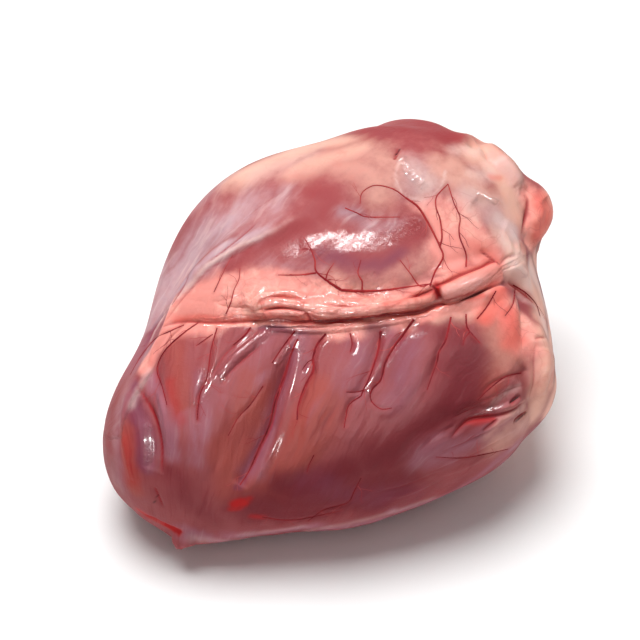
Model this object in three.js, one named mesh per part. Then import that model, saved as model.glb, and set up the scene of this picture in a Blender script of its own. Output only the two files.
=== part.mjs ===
// A whole raw pork heart, trimmed for sale, lying on its back face on a flat surface. It is one piece of meat,
// so it is one closed solid. X runs from the tip (apex, -X) to the cut base with its vessels (+X), +Z is up, and
// the origin is at the middle of the underside. Sizes are millimetres.
//
// The body is grown the way a modeller builds it in clay. Egg shapes for the two ventricles, the tip and the base
// are blended together, rolls of fat and creases are laid along routes on that body, and every point of a fine
// ball is then moved out along its own ray until it meets the surface.
import * as THREE from "three";
import { mergeVertices } from "three/addons/utils/BufferGeometryUtils.js";

// The frame that the body is modelled in. Once blended and settled it measures 115 by 91 by 68.
const LENGTH = 118; // tip to base
const WIDTH = 88; // across, side to side
const HEIGHT = 68; // from the flat it rests on to the top

const BALL_DETAIL = 23; // each of the ball's 20 faces is divided into (detail + 1) squared triangles
const SHOWN_SIDE = [0, -0.55, 0.83]; // the side with the seam, where the ball's points are gathered
const GATHER = 0.4; // how strongly they are gathered there
const BLEND = 14; // how softly two egg shapes run into each other
const SETTLE = 2.2; // how far its own weight presses the meat out flat where it rests
const FLOOR_BLEND = 3; // how round the meat turns up from that flat
const ROUTE_STEP = 2; // spacing along a roll or a crease
const SWELL = 0.3; // slow swells of the muscle, so that no side is a perfect egg
const LUMPS = 0.25; // how unevenly thick a roll or a crease is along its length
const RELIEF = 9; // no roll or crease departs further than this from the bare body
const FAR = 1e3; // a distance that is out of everything's reach

const along = (share) => share * LENGTH;
const across = (share) => share * WIDTH;
const up = (share) => share * HEIGHT;
const radians = THREE.MathUtils.degToRad;

// The eggs. at and size are shares of length, width and height; turn is about Z and tip about Y, in degrees.
const EGGS = [
  { name: "left ventricle", at: [-0.08, -0.18, 0.385], size: [0.4, 0.26, 0.385], turn: -24.5, tip: -8 },
  { name: "left ventricle, upper end", at: [0.12, -0.165, 0.43], size: [0.2, 0.25, 0.36], turn: 0, tip: 0 },
  { name: "front edge", at: [-0.19, 0.06, 0.44], size: [0.2, 0.22, 0.34], turn: 0, tip: -20 },
  { name: "right ventricle", at: [0.06, 0.12, 0.52], size: [0.34, 0.33, 0.44], turn: -6, tip: -10 },
  { name: "shoulder", at: [0.05, 0.24, 0.57], size: [0.25, 0.24, 0.37], turn: 0, tip: 0 },
  { name: "tip", at: [-0.34, 0.01, 0.32], size: [0.12, 0.18, 0.28], turn: 0, tip: 0 },
  { name: "base", at: [0.28, 0.08, 0.6], size: [0.18, 0.3, 0.4], turn: 0, tip: 0 },
  { name: "base, near side", at: [0.21, -0.18, 0.39], size: [0.15, 0.19, 0.27], turn: 0, tip: 0 },
  { name: "back", at: [0.06, 0.08, 0.38], size: [0.33, 0.35, 0.4], turn: 0, tip: 0 },
];

// The relief, in the order in which it is laid. A path runs over the body's skin from point to point, each given
// as [lean, clock] in degrees: lean is 0 at the base end and 180 at the tip, clock is 0 at the top and grows
// towards the near side. A roll adds a round bead and a crease cuts one away. lift is how far the bead's middle
// stands over the skin, soft how gently it runs into the meat, and taper how much its ends thin out.
const RELIEFS = [
  {
    name: "valley of the main seam",
    crease: true,
    path: [[150, -24], [136, 9], [122, 24], [103, 35], [85, 41], [70, 46], [56, 47]],
    radius: 9,
    lift: 7.6,
    soft: 5,
    taper: 0.3,
  },
  {
    name: "hollow beyond the membrane's crest",
    crease: true,
    path: [[157, -62], [143, -58], [128, -48], [113, -40], [97, -34]],
    radius: 11,
    lift: 8.6,
    soft: 5,
    taper: 0.4,
  },
  {
    name: "crest of the membrane",
    path: [[158, -46], [150, -42], [139, -41], [125, -31], [114, -25], [104, -20], [92, -16]],
    radius: 2.4,
    lift: -1.1,
    soft: 2.5,
    taper: 0.5,
  },
  {
    name: "main seam",
    crease: true,
    path: [[151, -33], [147, -12], [136, 9], [122, 24], [103, 35], [85, 41], [70, 46], [58, 48], [46, 47]],
    radius: 2.3,
    lift: -0.2,
    soft: 2.2,
    taper: 0.4,
  },
  {
    name: "roll of fat along the seam",
    path: [[120, 20], [109, 27], [98, 32], [86, 38], [76, 41], [69, 43]],
    radius: 2.1,
    lift: -1.1,
    soft: 1.8,
    taper: 0.5,
  },
  {
    name: "lobe of fat, lower",
    path: [[135, 4], [127, 13], [118, 21]],
    radius: 2.3,
    lift: -1.2,
    soft: 1.8,
    taper: 0.5,
  },
  {
    name: "lobe of fat, upper",
    path: [[133, -3], [126, 6], [118, 12]],
    radius: 2,
    lift: -1,
    soft: 1.8,
    taper: 0.5,
  },
  {
    name: "crease above the fat",
    crease: true,
    path: [[97, 25], [85, 32], [76, 35], [68, 37]],
    radius: 1.8,
    lift: 0,
    soft: 1.8,
    taper: 0.5,
  },
  {
    name: "trench at the seam's upper end",
    crease: true,
    path: [[70, 41], [62, 41.5], [54, 43], [46, 44.5], [42, 45]],
    radius: 5,
    lift: 2,
    soft: 2.5,
    taper: 0.4,
  },
  {
    name: "sausage of fat in that trench",
    path: [[65, 41], [58, 42], [51, 43], [44, 44.5]],
    radius: 3,
    lift: -1.6,
    soft: 1.4,
    taper: 0.3,
  },
  {
    name: "valley in the left ventricle",
    crease: true,
    path: [[124, 38], [132, 45], [138, 55], [145, 72], [150, 93]],
    radius: 6,
    lift: 4.6,
    soft: 3,
    taper: 0.3,
  },
  {
    name: "second valley in the left ventricle",
    crease: true,
    path: [[92, 44], [98, 53], [105, 62], [112, 74]],
    radius: 6,
    lift: 5,
    soft: 3,
    taper: 0.3,
  },
  {
    name: "crease of the tip's lobe",
    crease: true,
    path: [[160, -38], [167, -14], [171, 18], [170, 52], [168, 88], [164, 122]],
    radius: 3,
    lift: 1.4,
    soft: 2,
    taper: 0.5,
  },
  {
    name: "rim of fat round the base",
    path: [[28, 34], [33, 48], [39, 60], [45, 71], [49, 83], [50, 98], [48, 120]],
    radius: 6,
    lift: -5.3,
    soft: 4,
    taper: 0.4,
  },
  {
    name: "lump of fat on the rim",
    path: [[45, 73], [50, 81], [53, 90]],
    radius: 3.8,
    lift: -2.6,
    soft: 2,
    taper: 0.3,
  },
  {
    name: "seam round the base",
    crease: true,
    path: [[46, 49], [39, 58], [45, 67], [53, 74], [58, 80], [61, 88], [61, 100], [60, 120]],
    radius: 1.9,
    lift: 0.5,
    soft: 3,
    taper: 0.4,
  },
  {
    name: "crease below the base",
    crease: true,
    path: [[65, 79], [72, 83], [79, 82], [86, 81], [93, 84]],
    radius: 2,
    lift: 0.6,
    soft: 2,
    taper: 0.6,
  },
  {
    name: "fold of the cut vessel",
    path: [[34, -20], [30, -6], [25, 6], [20, 18]],
    radius: 5,
    lift: -0.8,
    soft: 2.5,
    taper: 0.4,
  },
  {
    name: "stub of the cut vessel",
    path: [[22, 14], [19, 22], [20, 32]],
    radius: 5,
    lift: 1.6,
    soft: 1.5,
    taper: 0.2,
  },
  {
    name: "fold beyond the crest, towards the tip",
    crease: true,
    path: [[137, -51], [147, -53], [156, -48]],
    radius: 2.2,
    lift: 1,
    soft: 2,
    taper: 0.5,
  },
  {
    name: "fold beyond the crest, towards the base",
    crease: true,
    path: [[104, -30], [114, -36], [124, -41], [132, -44]],
    radius: 2.2,
    lift: 1,
    soft: 2,
    taper: 0.5,
  },
  {
    name: "rim of fat round the base, far side",
    path: [[34, -30], [40, -52], [46, -75], [50, -98], [50, -120]],
    radius: 6,
    lift: -4.4,
    soft: 4,
    taper: 0.4,
  },
  {
    name: "seam round the base, far side",
    crease: true,
    path: [[44, -30], [50, -52], [57, -75], [61, -98], [62, -122]],
    radius: 2.2,
    lift: 0.4,
    soft: 2,
    taper: 0.5,
  },
  {
    name: "second seam, on the far side",
    crease: true,
    path: [[62, -104], [76, -108], [92, -111], [108, -115], [124, -120], [140, -128]],
    radius: 2.4,
    lift: 0.2,
    soft: 1.6,
    taper: 0.5,
  },
  {
    name: "roll of fat along the second seam",
    path: [[66, -99], [78, -102], [92, -105], [106, -108]],
    radius: 2.6,
    lift: -1.1,
    soft: 1.2,
    taper: 0.5,
  },
  {
    name: "mouth of the large vessel, pressed shut",
    crease: true,
    path: [[22, -62], [11, -40], [5, 30], [12, 80]],
    radius: 2.6,
    lift: 0.4,
    soft: 1.6,
    taper: 0.6,
  },
  {
    name: "upper lip of that mouth",
    path: [[27, -44], [17, -22], [12, 18], [17, 55]],
    radius: 3.6,
    lift: -1.6,
    soft: 2,
    taper: 0.5,
  },
  {
    name: "lower lip of that mouth",
    path: [[27, -84], [18, -84], [11, -120], [13, 130], [19, 102]],
    radius: 3.6,
    lift: -1.6,
    soft: 2,
    taper: 0.5,
  },
  {
    name: "mouth of the small vessel, pressed shut",
    crease: true,
    path: [[30, -128], [25, -158], [25, 170], [30, 140]],
    radius: 2.2,
    lift: 0.4,
    soft: 1.6,
    taper: 0.6,
  },
  {
    name: "flap of membrane under the tip",
    path: [[148, 140], [150, 150], [150, 158]],
    radius: 2.4,
    lift: 0.4,
    soft: 2,
    taper: 0.6,
  },
];

const CENTRE = new THREE.Vector3(0, 0, up(0.48)); // the ball is grown about this point

// Below zero inside an egg, above zero outside, and roughly the distance to its surface.
function egg({ at, size, turn, tip }) {
  const middle = new THREE.Vector3(along(at[0]), across(at[1]), up(at[2]) - SETTLE);
  const [rx, ry, rz] = [along(size[0]), across(size[1]), up(size[2])];
  const pose = new THREE.Euler(0, radians(tip), radians(turn), "ZYX");
  const back = new THREE.Matrix4().makeRotationFromEuler(pose).invert();
  const local = new THREE.Vector3();
  const shrunk = new THREE.Vector3();
  return (p) => {
    local.copy(p).sub(middle).applyMatrix4(back);
    local.set(local.x / rx, local.y / ry, local.z / rz);
    shrunk.set(local.x / rx, local.y / ry, local.z / rz);
    const near = local.length();
    return (near * (near - 1)) / Math.max(shrunk.length(), 1e-6);
  };
}

// The lesser of two distances, rounded over where they are within a radius of each other.
function blend(a, b, radius) {
  const h = Math.max(radius - Math.abs(a - b), 0) / radius;
  return Math.min(a, b) - (h * h * radius) / 4;
}

const eggs = EGGS.map(egg);

// Slow swells whose waves are about 40 to 50 mm long.
function swell({ x, y, z }) {
  return SWELL * (Math.sin(x / 7 + 1.5 * Math.sin(y / 9)) + Math.sin(y / 6 + z / 8 + 1.5 * Math.sin(x / 12)));
}

// The blended eggs, before any relief.
function bareBody(p) {
  let d = eggs[0](p);
  for (const shape of eggs.slice(1)) d = blend(d, shape(p), BLEND);
  return d + swell(p);
}

// Walks in along a ray from the centre, starting at a given distance, and returns where it meets the body.
function meet(body, ray, start, stride) {
  const point = new THREE.Vector3();
  let far = start;
  let near = start;
  do {
    far = near;
    near -= stride;
    point.copy(CENTRE).addScaledVector(ray, near);
  } while (near > 0 && body(point) > 0);
  for (let k = 0; k < 16; k += 1) {
    const middle = (near + far) / 2;
    point.copy(CENTRE).addScaledVector(ray, middle);
    if (body(point) > 0) far = middle;
    else near = middle;
  }
  return near;
}

// The direction from the centre that a lean and a clock name.
function toward([lean, clock]) {
  const side = Math.sin(radians(lean));
  return new THREE.Vector3(
    Math.cos(radians(lean)),
    -side * Math.sin(radians(clock)),
    side * Math.cos(radians(clock)),
  );
}

// A bead laid over the skin along a path: returns the distance to it.
function bead({ path, radius, lift, taper }) {
  const curve = new THREE.CatmullRomCurve3(path.map(toward));
  const steps = Math.ceil((curve.getLength() * LENGTH) / 2 / ROUTE_STEP);
  const beads = curve.getSpacedPoints(steps).map((ray, i) => {
    ray.normalize();
    const end = Math.abs((2 * i) / steps - 1);
    const place = CENTRE.clone().addScaledVector(ray, meet(bareBody, ray, LENGTH, 2) + lift);
    return { place, radius: radius * (1 - taper * end ** 3) + LUMPS * Math.sin(i / 2) };
  });
  const links = beads.slice(1).map((bead, i) => new THREE.Line3(beads[i].place, bead.place));
  const reach = new THREE.Box3().setFromPoints(beads.map(({ place }) => place));
  reach.expandByScalar(radius + RELIEF);
  const nearest = new THREE.Vector3();
  return (p) => {
    if (!reach.containsPoint(p)) return FAR;
    let least = FAR;
    links.forEach((link, i) => {
      const t = link.closestPointToPointParameter(p, true);
      link.at(t, nearest);
      const thick = THREE.MathUtils.lerp(beads[i].radius, beads[i + 1].radius, t);
      least = Math.min(least, nearest.distanceTo(p) - thick);
    });
    return least;
  };
}

const reliefs = RELIEFS.map((relief) => ({ ...relief, shape: bead(relief) }));

// The whole heart, with its relief, cut flat where it rests.
function body(p) {
  let d = bareBody(p);
  for (const { shape, crease, soft } of reliefs) {
    const bead = shape(p);
    d = crease ? -blend(-d, bead, soft) : blend(d, bead, soft);
  }
  return -blend(-d, p.z, FLOOR_BLEND);
}

// Moves every point of the ball out to the surface of the heart, then centres the result.
function grow() {
  const ball = new THREE.IcosahedronGeometry(1, BALL_DETAIL);
  ball.deleteAttribute("normal");
  ball.deleteAttribute("uv");
  const mesh = mergeVertices(ball);
  const place = mesh.getAttribute("position");
  const shownSide = new THREE.Vector3(...SHOWN_SIDE);
  const stretch = new THREE.Vector3(LENGTH, WIDTH, HEIGHT).multiplyScalar(0.5);
  const ray = new THREE.Vector3();
  for (let i = 0; i < place.count; i += 1) {
    ray.fromBufferAttribute(place, i).addScaledVector(shownSide, GATHER).multiply(stretch).normalize();
    const bare = meet(bareBody, ray, LENGTH, 2);
    const far = meet(body, ray, bare + RELIEF, 0.5);
    ray.multiplyScalar(far).add(CENTRE);
    place.setXYZ(i, ray.x, ray.y, Math.max(ray.z, 0));
  }
  mesh.computeBoundingBox();
  const middle = mesh.boundingBox.getCenter(new THREE.Vector3());
  return mesh.translate(-middle.x, -middle.y, 0);
}

const heart = new THREE.Mesh(
  grow(),
  new THREE.MeshStandardMaterial({ color: 0xb5605c, roughness: 0.35, metalness: 0 }),
);
heart.name = "heart";

const group = new THREE.Group();
group.add(heart);

export default group;
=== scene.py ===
# %% [markdown]
# # A raw pork heart
# The object is one piece of wet meat lying on a white surface: two ventricles with a fat-lined seam between
# them, a pale membrane, fine vessels and a cut base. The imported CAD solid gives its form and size. This
# script makes the looks around it: a finer skin with the real folds, then its colours, then the vessels
# that stand on it.
#
# The heart was seen in one photograph, so most places are named by the pixel where they show, in a picture
# of 640 by 640 pixels. A ray through that pixel finds the place on the meat, and everything made there
# stays on the meat from any side. What the photograph hides is named by two angles instead.

# %% Load the frame
import math

import bpy
import numpy as np
from mathutils import Matrix, Quaternion, Vector
from mathutils.bvhtree import BVHTree


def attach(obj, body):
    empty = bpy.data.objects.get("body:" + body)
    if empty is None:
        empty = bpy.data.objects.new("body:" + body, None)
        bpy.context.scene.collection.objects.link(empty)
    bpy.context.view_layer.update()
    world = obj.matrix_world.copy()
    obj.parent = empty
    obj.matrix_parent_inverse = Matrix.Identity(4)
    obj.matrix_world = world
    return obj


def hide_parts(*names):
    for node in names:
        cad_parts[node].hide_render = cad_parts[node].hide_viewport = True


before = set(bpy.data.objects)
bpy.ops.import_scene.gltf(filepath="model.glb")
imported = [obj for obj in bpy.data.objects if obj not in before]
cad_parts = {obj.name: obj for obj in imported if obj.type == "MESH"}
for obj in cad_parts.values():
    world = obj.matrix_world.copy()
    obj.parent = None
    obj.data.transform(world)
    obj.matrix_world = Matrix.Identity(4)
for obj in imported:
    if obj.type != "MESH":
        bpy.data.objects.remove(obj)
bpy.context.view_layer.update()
MM = 0.001

# %% [markdown]
# ## The camera
# The heart is seen from above and from the side of its left ventricle, at 45 degrees, with a long lens,
# which keeps its outline nearly free of perspective. A camera is placed by what it looks at: the middle of
# the heart shows a little below and to the right of the middle of the picture.

# %% Place the camera
PICTURE = 640  # pixels along each side
LENS = 130.0
SENSOR = 36.0
DISTANCE = 0.525
AZIMUTH = math.radians(-35)
ELEVATION = math.radians(45)
MIDDLE = Vector((0.0005, -0.00015, 0.0325))  # the middle of the heart
MIDDLE_PIXEL = (330, 335)

back = Vector(
    (
        math.sin(AZIMUTH) * math.cos(ELEVATION),
        -math.cos(AZIMUTH) * math.cos(ELEVATION),
        math.sin(ELEVATION),
    )
)
turn = (-back).to_track_quat("-Z", "Y")
right = turn @ Vector((1, 0, 0))
upward = turn @ Vector((0, 1, 0))
pixel = DISTANCE * SENSOR / LENS / PICTURE  # what a pixel covers at the heart
half = PICTURE / 2
eye = (
    MIDDLE
    - right * (MIDDLE_PIXEL[0] - half) * pixel
    + upward * (MIDDLE_PIXEL[1] - half) * pixel
    + back * DISTANCE
)
camera_data = bpy.data.cameras.new("camera")
camera_data.lens = LENS
camera_data.sensor_width = SENSOR
camera = bpy.data.objects.new("camera", camera_data)
bpy.context.scene.collection.objects.link(camera)
camera.location = eye
camera.rotation_mode = "QUATERNION"
camera.rotation_quaternion = turn
bpy.context.scene.camera = camera
print("one pixel covers", round(pixel / MM, 3), "mm")

# %% [markdown]
# ## Working as by hand
# Blender's operators act on whatever is selected and active, and the loaded CAD nodes are still selected.
# Two small helpers keep that under control: one leaves a single object selected, and one adds a modifier
# and applies it at once.

# %% Helpers for operators
def take(obj):
    """Leaves only obj selected and active."""
    if bpy.context.object and bpy.context.object.mode != "OBJECT":
        bpy.ops.object.mode_set(mode="OBJECT")
    bpy.ops.object.select_all(action="DESELECT")
    obj.select_set(True)
    bpy.context.view_layer.objects.active = obj


def apply_modifier(obj, kind, **settings):
    """Adds a modifier with its settings and applies it."""
    take(obj)
    modifier = obj.modifiers.new(kind.lower(), kind)
    for name, value in settings.items():
        setattr(modifier, name, value)
    bpy.ops.object.modifier_apply(modifier=modifier.name)

# %% [markdown]
# ## Floor and light
# The photograph was taken on a white sweep, with soft light from above. A big plain plane and an even white
# world make the white, and one wide lamp overhead, the key, makes the soft shadow. The meat is so wet that
# it mirrors its lights, and the key would show in it as a grey haze, so it is kept out of the highlights.
# These come from seven lamps that are seen in the gloss alone and light nothing: a wide faint one, and
# narrower ones where the photograph shows a shine.

# %% Make the floor and the lights
FLOOR_SIZE = 6.0
LIGHT_REACH = 0.9  # how far the lights stand from the heart
ABOVE = (-0.04, 0.15, 0.99)


def area_light(name, direction, size, power, seen=True, lights=True):
    """A soft light in a direction from the heart. Its first side lies along the picture's width."""
    data = bpy.data.lights.new(name, "AREA")
    data.shape = "ELLIPSE"
    data.size, data.size_y = size
    data.energy = power
    lamp = bpy.data.objects.new(name, data)
    bpy.context.scene.collection.objects.link(lamp)
    towards = Vector(direction).normalized()
    aside = (right - towards * right.dot(towards)).normalized()
    lamp.location = MIDDLE + towards * LIGHT_REACH
    lamp.rotation_mode = "QUATERNION"
    lamp.rotation_quaternion = Matrix((aside, towards.cross(aside), towards)).transposed().to_quaternion()
    lamp.visible_glossy = seen
    lamp.visible_diffuse = lights


bpy.ops.object.select_all(action="DESELECT")
bpy.ops.mesh.primitive_plane_add(size=FLOOR_SIZE)
floor = bpy.context.object
floor.name = "floor"

world = bpy.data.worlds.new("studio")
world.use_nodes = True
world.node_tree.nodes["Background"].inputs["Color"].default_value = (1.0, 0.99, 0.985, 1)
world.node_tree.nodes["Background"].inputs["Strength"].default_value = 0.27
bpy.context.scene.world = world
area_light("key", ABOVE, (0.6, 0.6), 9.0, seen=False)
for name, direction, size, power in (
    ("sheen", ABOVE, (0.6, 0.6), 0.8),
    ("overhead", (0.3, 0.1, 0.95), (0.62, 0.15), 9.0),
    ("rear", (0.1, 0.78, 0.62), (0.2, 0.1), 4.0),
    ("upper_left", (-0.38, 0.1, 0.92), (0.12, 0.12), 5.0),
    ("left", (-0.72, -0.5, 0.48), (0.15, 0.15), 3.0),
    ("front", (-0.3, -0.7, 0.65), (0.2, 0.14), 8.0),
    ("right", (0.6, -0.45, 0.66), (0.18, 0.14), 5.0),
):
    area_light(name, direction, size, power, lights=False)
bpy.context.scene.view_settings.view_transform = "Standard"

# %% [markdown]
# ## The skin
# The heart is one closed piece of meat, so its skin is one closed mesh. The CAD node is a shell of loose
# triangles, about two millimetres long. A copy is merged into one surface, each triangle is cut into four,
# and a Smooth modifier melts the facets away. The node itself is left alone.
#
# A remesh would also give an even skin, but it would spend as many faces on the plain underside as on the
# seam.

# %% Copy the node and make it fine
SKIN_SMOOTHING = 10

meat = bpy.data.objects.new("pork_heart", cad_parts["heart"].data.copy())
bpy.context.scene.collection.objects.link(meat)
take(meat)
bpy.ops.mesh.customdata_custom_splitnormals_clear()
bpy.ops.object.mode_set(mode="EDIT")
bpy.ops.mesh.select_all(action="SELECT")
bpy.ops.mesh.remove_doubles(threshold=1e-6)
bpy.ops.mesh.subdivide(number_cuts=1)
bpy.ops.object.mode_set(mode="OBJECT")
bpy.ops.object.shade_smooth()
apply_modifier(meat, "SMOOTH", factor=0.5, iterations=SKIN_SMOOTHING)
print("skin:", len(meat.data.vertices), "points,", len(meat.data.polygons), "faces")

# %% [markdown]
# ## Finding a place on the meat
# A route is a smooth line on the skin. It is given by a few pixels of the photograph, or by a few pairs of
# angles where the photograph doesn't reach: lean is 0 at the base end and 180 at the tip, and clock turns
# about the heart's length from 0 at the top towards the near side. A Catmull-Rom curve runs through the
# given places, and every step of it is dropped onto the skin by a ray.

# %% Read the skin and lay routes on it
HEART_CENTRE = Vector((0.0005, -0.00015, 0.0326))  # the point the two angles are taken from
ROUTE_STEP = 0.35 * MM
TYPICAL_RADIUS = 40 * MM  # turns a step on the skin into a step of direction
OUTSIDE = 150 * MM  # surely off the heart, seen from its centre
STEPS_INWARD = 40  # how finely a pixel that misses the heart is drawn in to it
GAPS_AT_ONCE = 3_000_000  # how many gaps between points are measured at once, to spare memory


def column(mesh, name, width=3, source="vertices"):
    """One property of every vertex as a numpy table."""
    items = getattr(mesh, source)
    values = np.zeros(len(items) * width, np.float32)
    items.foreach_get(name, values)
    return values.reshape(-1, width).astype(float)


def read_skin(obj):
    """The object's points, normals and a search tree over its faces, as they are now."""
    mesh = obj.data
    points = column(mesh, "co")
    faces = column(mesh, "vertices", 3, "polygons").astype(int)
    tree = BVHTree.FromPolygons(points.tolist(), faces.tolist())
    return {"points": points, "normals": column(mesh, "normal"), "tree": tree}


def look_through(x, y):
    """The direction in which the camera sees a pixel."""
    across = right * (x - half) * pixel
    down = upward * (half - y) * pixel
    return (across + down - back * DISTANCE).normalized()


def at_pixel(skin, x, y):
    """Where a pixel meets the skin, and the normal there. A pixel just off the outline is drawn in to it."""
    for step in range(STEPS_INWARD):
        near = step / STEPS_INWARD
        px = x + (MIDDLE_PIXEL[0] - x) * near
        py = y + (MIDDLE_PIXEL[1] - y) * near
        place, normal, _, _ = skin["tree"].ray_cast(eye, look_through(px, py))
        if place:
            return place, normal
    raise ValueError(f"pixel {x}, {y} is far off the heart")


def heading(lean, clock):
    """The direction from the heart's centre that two angles name."""
    side = math.sin(math.radians(lean))
    clock = math.radians(clock)
    return Vector((math.cos(math.radians(lean)), -side * math.sin(clock), side * math.cos(clock)))


def at_heading(skin, direction):
    """Where a direction from the centre leaves the skin, and the normal there."""
    place, normal, _, _ = skin["tree"].ray_cast(HEART_CENTRE + direction * OUTSIDE, -direction)
    return place, normal


def smooth_path(places, step):
    """A Catmull-Rom curve through the places, in steps of about the given length."""
    p = np.array(places, float)
    if len(p) == 1:
        return p
    p = np.vstack([2 * p[0] - p[1], p, 2 * p[-1] - p[-2]])
    out = []
    for a, b, c, d in zip(p[:-3], p[1:-2], p[2:-1], p[3:]):
        count = max(1, round(float(np.linalg.norm(c - b)) / step))
        t = np.linspace(0, 1, count, endpoint=False)[:, None]
        square = (2 * a - 5 * b + 4 * c - d) * t**2
        out.append(0.5 * (2 * b + (c - a) * t + square + (3 * b - a - 3 * c + d) * t**3))
    return np.vstack([*out, p[-2:-1]])


def route(skin, places, angles=False):
    """A line on the skin through pixels, or through pairs of angles: its points, normals and directions."""
    if angles:
        rays = smooth_path([heading(*place) for place in places], ROUTE_STEP / TYPICAL_RADIUS)
        found = [at_heading(skin, Vector(ray).normalized()) for ray in rays]
    else:
        found = [at_pixel(skin, x, y) for x, y in smooth_path(places, ROUTE_STEP / pixel)]
    points = np.array([place for place, _ in found])
    normals = np.array([normal for _, normal in found])
    ahead = np.gradient(points, axis=0) if len(points) > 1 else np.zeros((1, 3))
    ahead /= np.maximum(np.linalg.norm(ahead, axis=1, keepdims=True), 1e-9)
    return {"points": points, "normals": normals, "ahead": ahead}


def beside(points, line, reach):
    """The points within reach of a line: index, distance, share of the way along, and how far to its left."""
    way = line["points"]
    inside = (points > way.min(0) - reach) & (points < way.max(0) + reach)
    index = np.flatnonzero(inside.all(1))
    nearest = np.zeros(len(index), int)
    for part in np.array_split(np.arange(len(index)), len(index) * len(way) // GAPS_AT_ONCE + 1):
        gap = points[index[part], None] - way[None]
        nearest[part] = (gap**2).sum(2).argmin(1)
    gap = points[index] - way[nearest]
    ahead = line["ahead"][nearest]
    forward = np.clip((gap * ahead).sum(1), -ROUTE_STEP / 2, ROUTE_STEP / 2)
    gap -= forward[:, None] * ahead
    distance = np.linalg.norm(gap, axis=1)
    left = np.cross(line["normals"][nearest], ahead)
    close = distance < reach
    share = nearest / max(1, len(way) - 1)
    return index[close], distance[close], share[close], (gap * left).sum(1)[close]


skin = read_skin(meat)
print("the picture's middle shows", [round(c / MM, 1) for c in at_pixel(skin, 320, 320)[0]])

# %% [markdown]
# ## More faces where the folds are
# The side that faces the camera carries nearly all of the folds, and the seam and the base have creases
# only half a millimetre wide. The faces there are cut once more, and those along the seam and the base's
# creases a third time. Cutting the whole skin that finely would give a heavy mesh with nothing to show for
# it on the plain sides.

# %% Refine the shown side, then the seam and the base
SEAM = [(150, 330), (179, 322), (201, 322), (227, 322), (256, 321), (279, 319), (297, 321), (330, 321)]
SEAM += [(363, 319), (396, 315), (417, 312), (438, 305), (458, 302), (473, 297), (486, 291), (499, 285)]
BASE_EDGE = [(499, 285), (520, 290), (537, 305), (536, 340), (532, 370), (530, 395), (505, 412), (470, 422)]
BACK_SEAM = [(62, -104), (76, -108), (92, -111), (108, -115), (124, -120), (140, -128)]
BASE_SEAM = [(44, -30), (50, -52), (57, -75), (61, -98), (62, -122)]
BASE_SEAM += [(64, -150), (64, 180), (62, 150), (60, 120)]
BASE_END = [(22, -62), (11, -40), (5, 30), (12, 80)]
CUT_FACES = 24500  # how many faces each of the two rounds cuts into four


def refine(chosen):
    """Cuts each chosen face into four and evens the result out a little."""
    take(meat)
    bpy.ops.object.mode_set(mode="EDIT")
    bpy.ops.mesh.select_mode(type="FACE")
    bpy.ops.mesh.select_all(action="DESELECT")
    bpy.ops.object.mode_set(mode="OBJECT")
    meat.data.polygons.foreach_set("select", chosen)
    bpy.ops.object.mode_set(mode="EDIT")
    bpy.ops.mesh.subdivide(number_cuts=1)
    bpy.ops.mesh.select_all(action="SELECT")
    bpy.ops.mesh.quads_convert_to_tris()
    bpy.ops.object.mode_set(mode="OBJECT")
    apply_modifier(meat, "SMOOTH", factor=0.5, iterations=3)
    print("skin:", len(meat.data.vertices), "points,", len(meat.data.polygons), "faces")


def lowest(values, count):
    """Marks the given number of lowest values."""
    chosen = np.zeros(len(values), bool)
    chosen[np.argsort(values)[:count]] = True
    return chosen


facing = column(meat.data, "normal", 3, "polygons") @ np.array(back)
refine(lowest(-facing, CUT_FACES))
skin = read_skin(meat)
middles = column(meat.data, "center", 3, "polygons")
nearest = np.full(len(middles), np.inf)
for line in (route(skin, SEAM), route(skin, BASE_EDGE), route(skin, BASE_END, angles=True)):
    for place in line["points"][::6]:
        nearest = np.minimum(nearest, np.linalg.norm(middles - place, axis=1))
refine(lowest(nearest, CUT_FACES))
skin = read_skin(meat)

# %% [markdown]
# ## Sculpting by strokes
# The folds are sculpted as with a brush: each stroke follows a route and raises or lowers the skin on both
# sides of it, less and less with the distance. There are four kinds. A roll is a round bead with steep
# sides, such as fat. A ridge is a soft swelling. A crease is a sharp cut with soft shoulders. A valley is a
# wide soft hollow. Strokes thin out towards both ends, as folds do. Ridges and valleys add up where they
# cross. Of two rolls the higher one shows, and of two creases the deeper one.
#
# A call makes several strokes of one kind. Each is given by its width to one side and its height, both in
# millimetres, and its route.

# %% Define the strokes
lift = np.zeros(len(skin["points"]))
rolls = np.zeros(len(skin["points"]))
cuts = np.zeros(len(skin["points"]))
# Painted shade: how much each crease darkens the colour beside it.
crease_shading = np.zeros(len(skin["points"]))  # where a crease is, for the colours

PROFILES = {
    "roll": lambda d: np.sqrt(np.maximum(1 - d**2, 0)),
    "ridge": lambda d: np.cos(d * math.pi / 2) ** 2,
    "crease": lambda d: -((1 - d) ** 1.6),
    "valley": lambda d: -(np.cos(d * math.pi / 2) ** 2),
}


def ends(share, thin):
    """1 along the middle of a stroke, falling to 0 at both ends over a share of its length."""
    if thin <= 0:
        return np.ones(len(share))
    near_end = np.clip(np.minimum(share, 1 - share) / thin, 0, 1)
    return np.sqrt(near_end * (2 - near_end))


def stroke(kind, *marks, angles=False, thin=0.4):
    """Raises or lowers the skin along routes."""
    for width, height, places in marks:
        line = route(skin, places, angles)
        index, distance, share, _ = beside(skin["points"], line, width * MM)
        fading = ends(share, thin)
        amount = PROFILES[kind](distance / (width * MM)) * height * MM * fading
        if kind == "crease":
            cuts[index] = np.minimum(cuts[index], amount)
            # Painted shade beside the crease, darker the deeper the crease is.
            dark = np.clip(1 - distance / ((0.4 + 0.3 * height) * MM), 0, 1) * min(1, height * 1.2) * fading
            crease_shading[index] = np.maximum(crease_shading[index], dark)
        elif kind == "roll":
            rolls[index] = np.maximum(rolls[index], amount)
        else:
            lift[index] += amount


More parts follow.
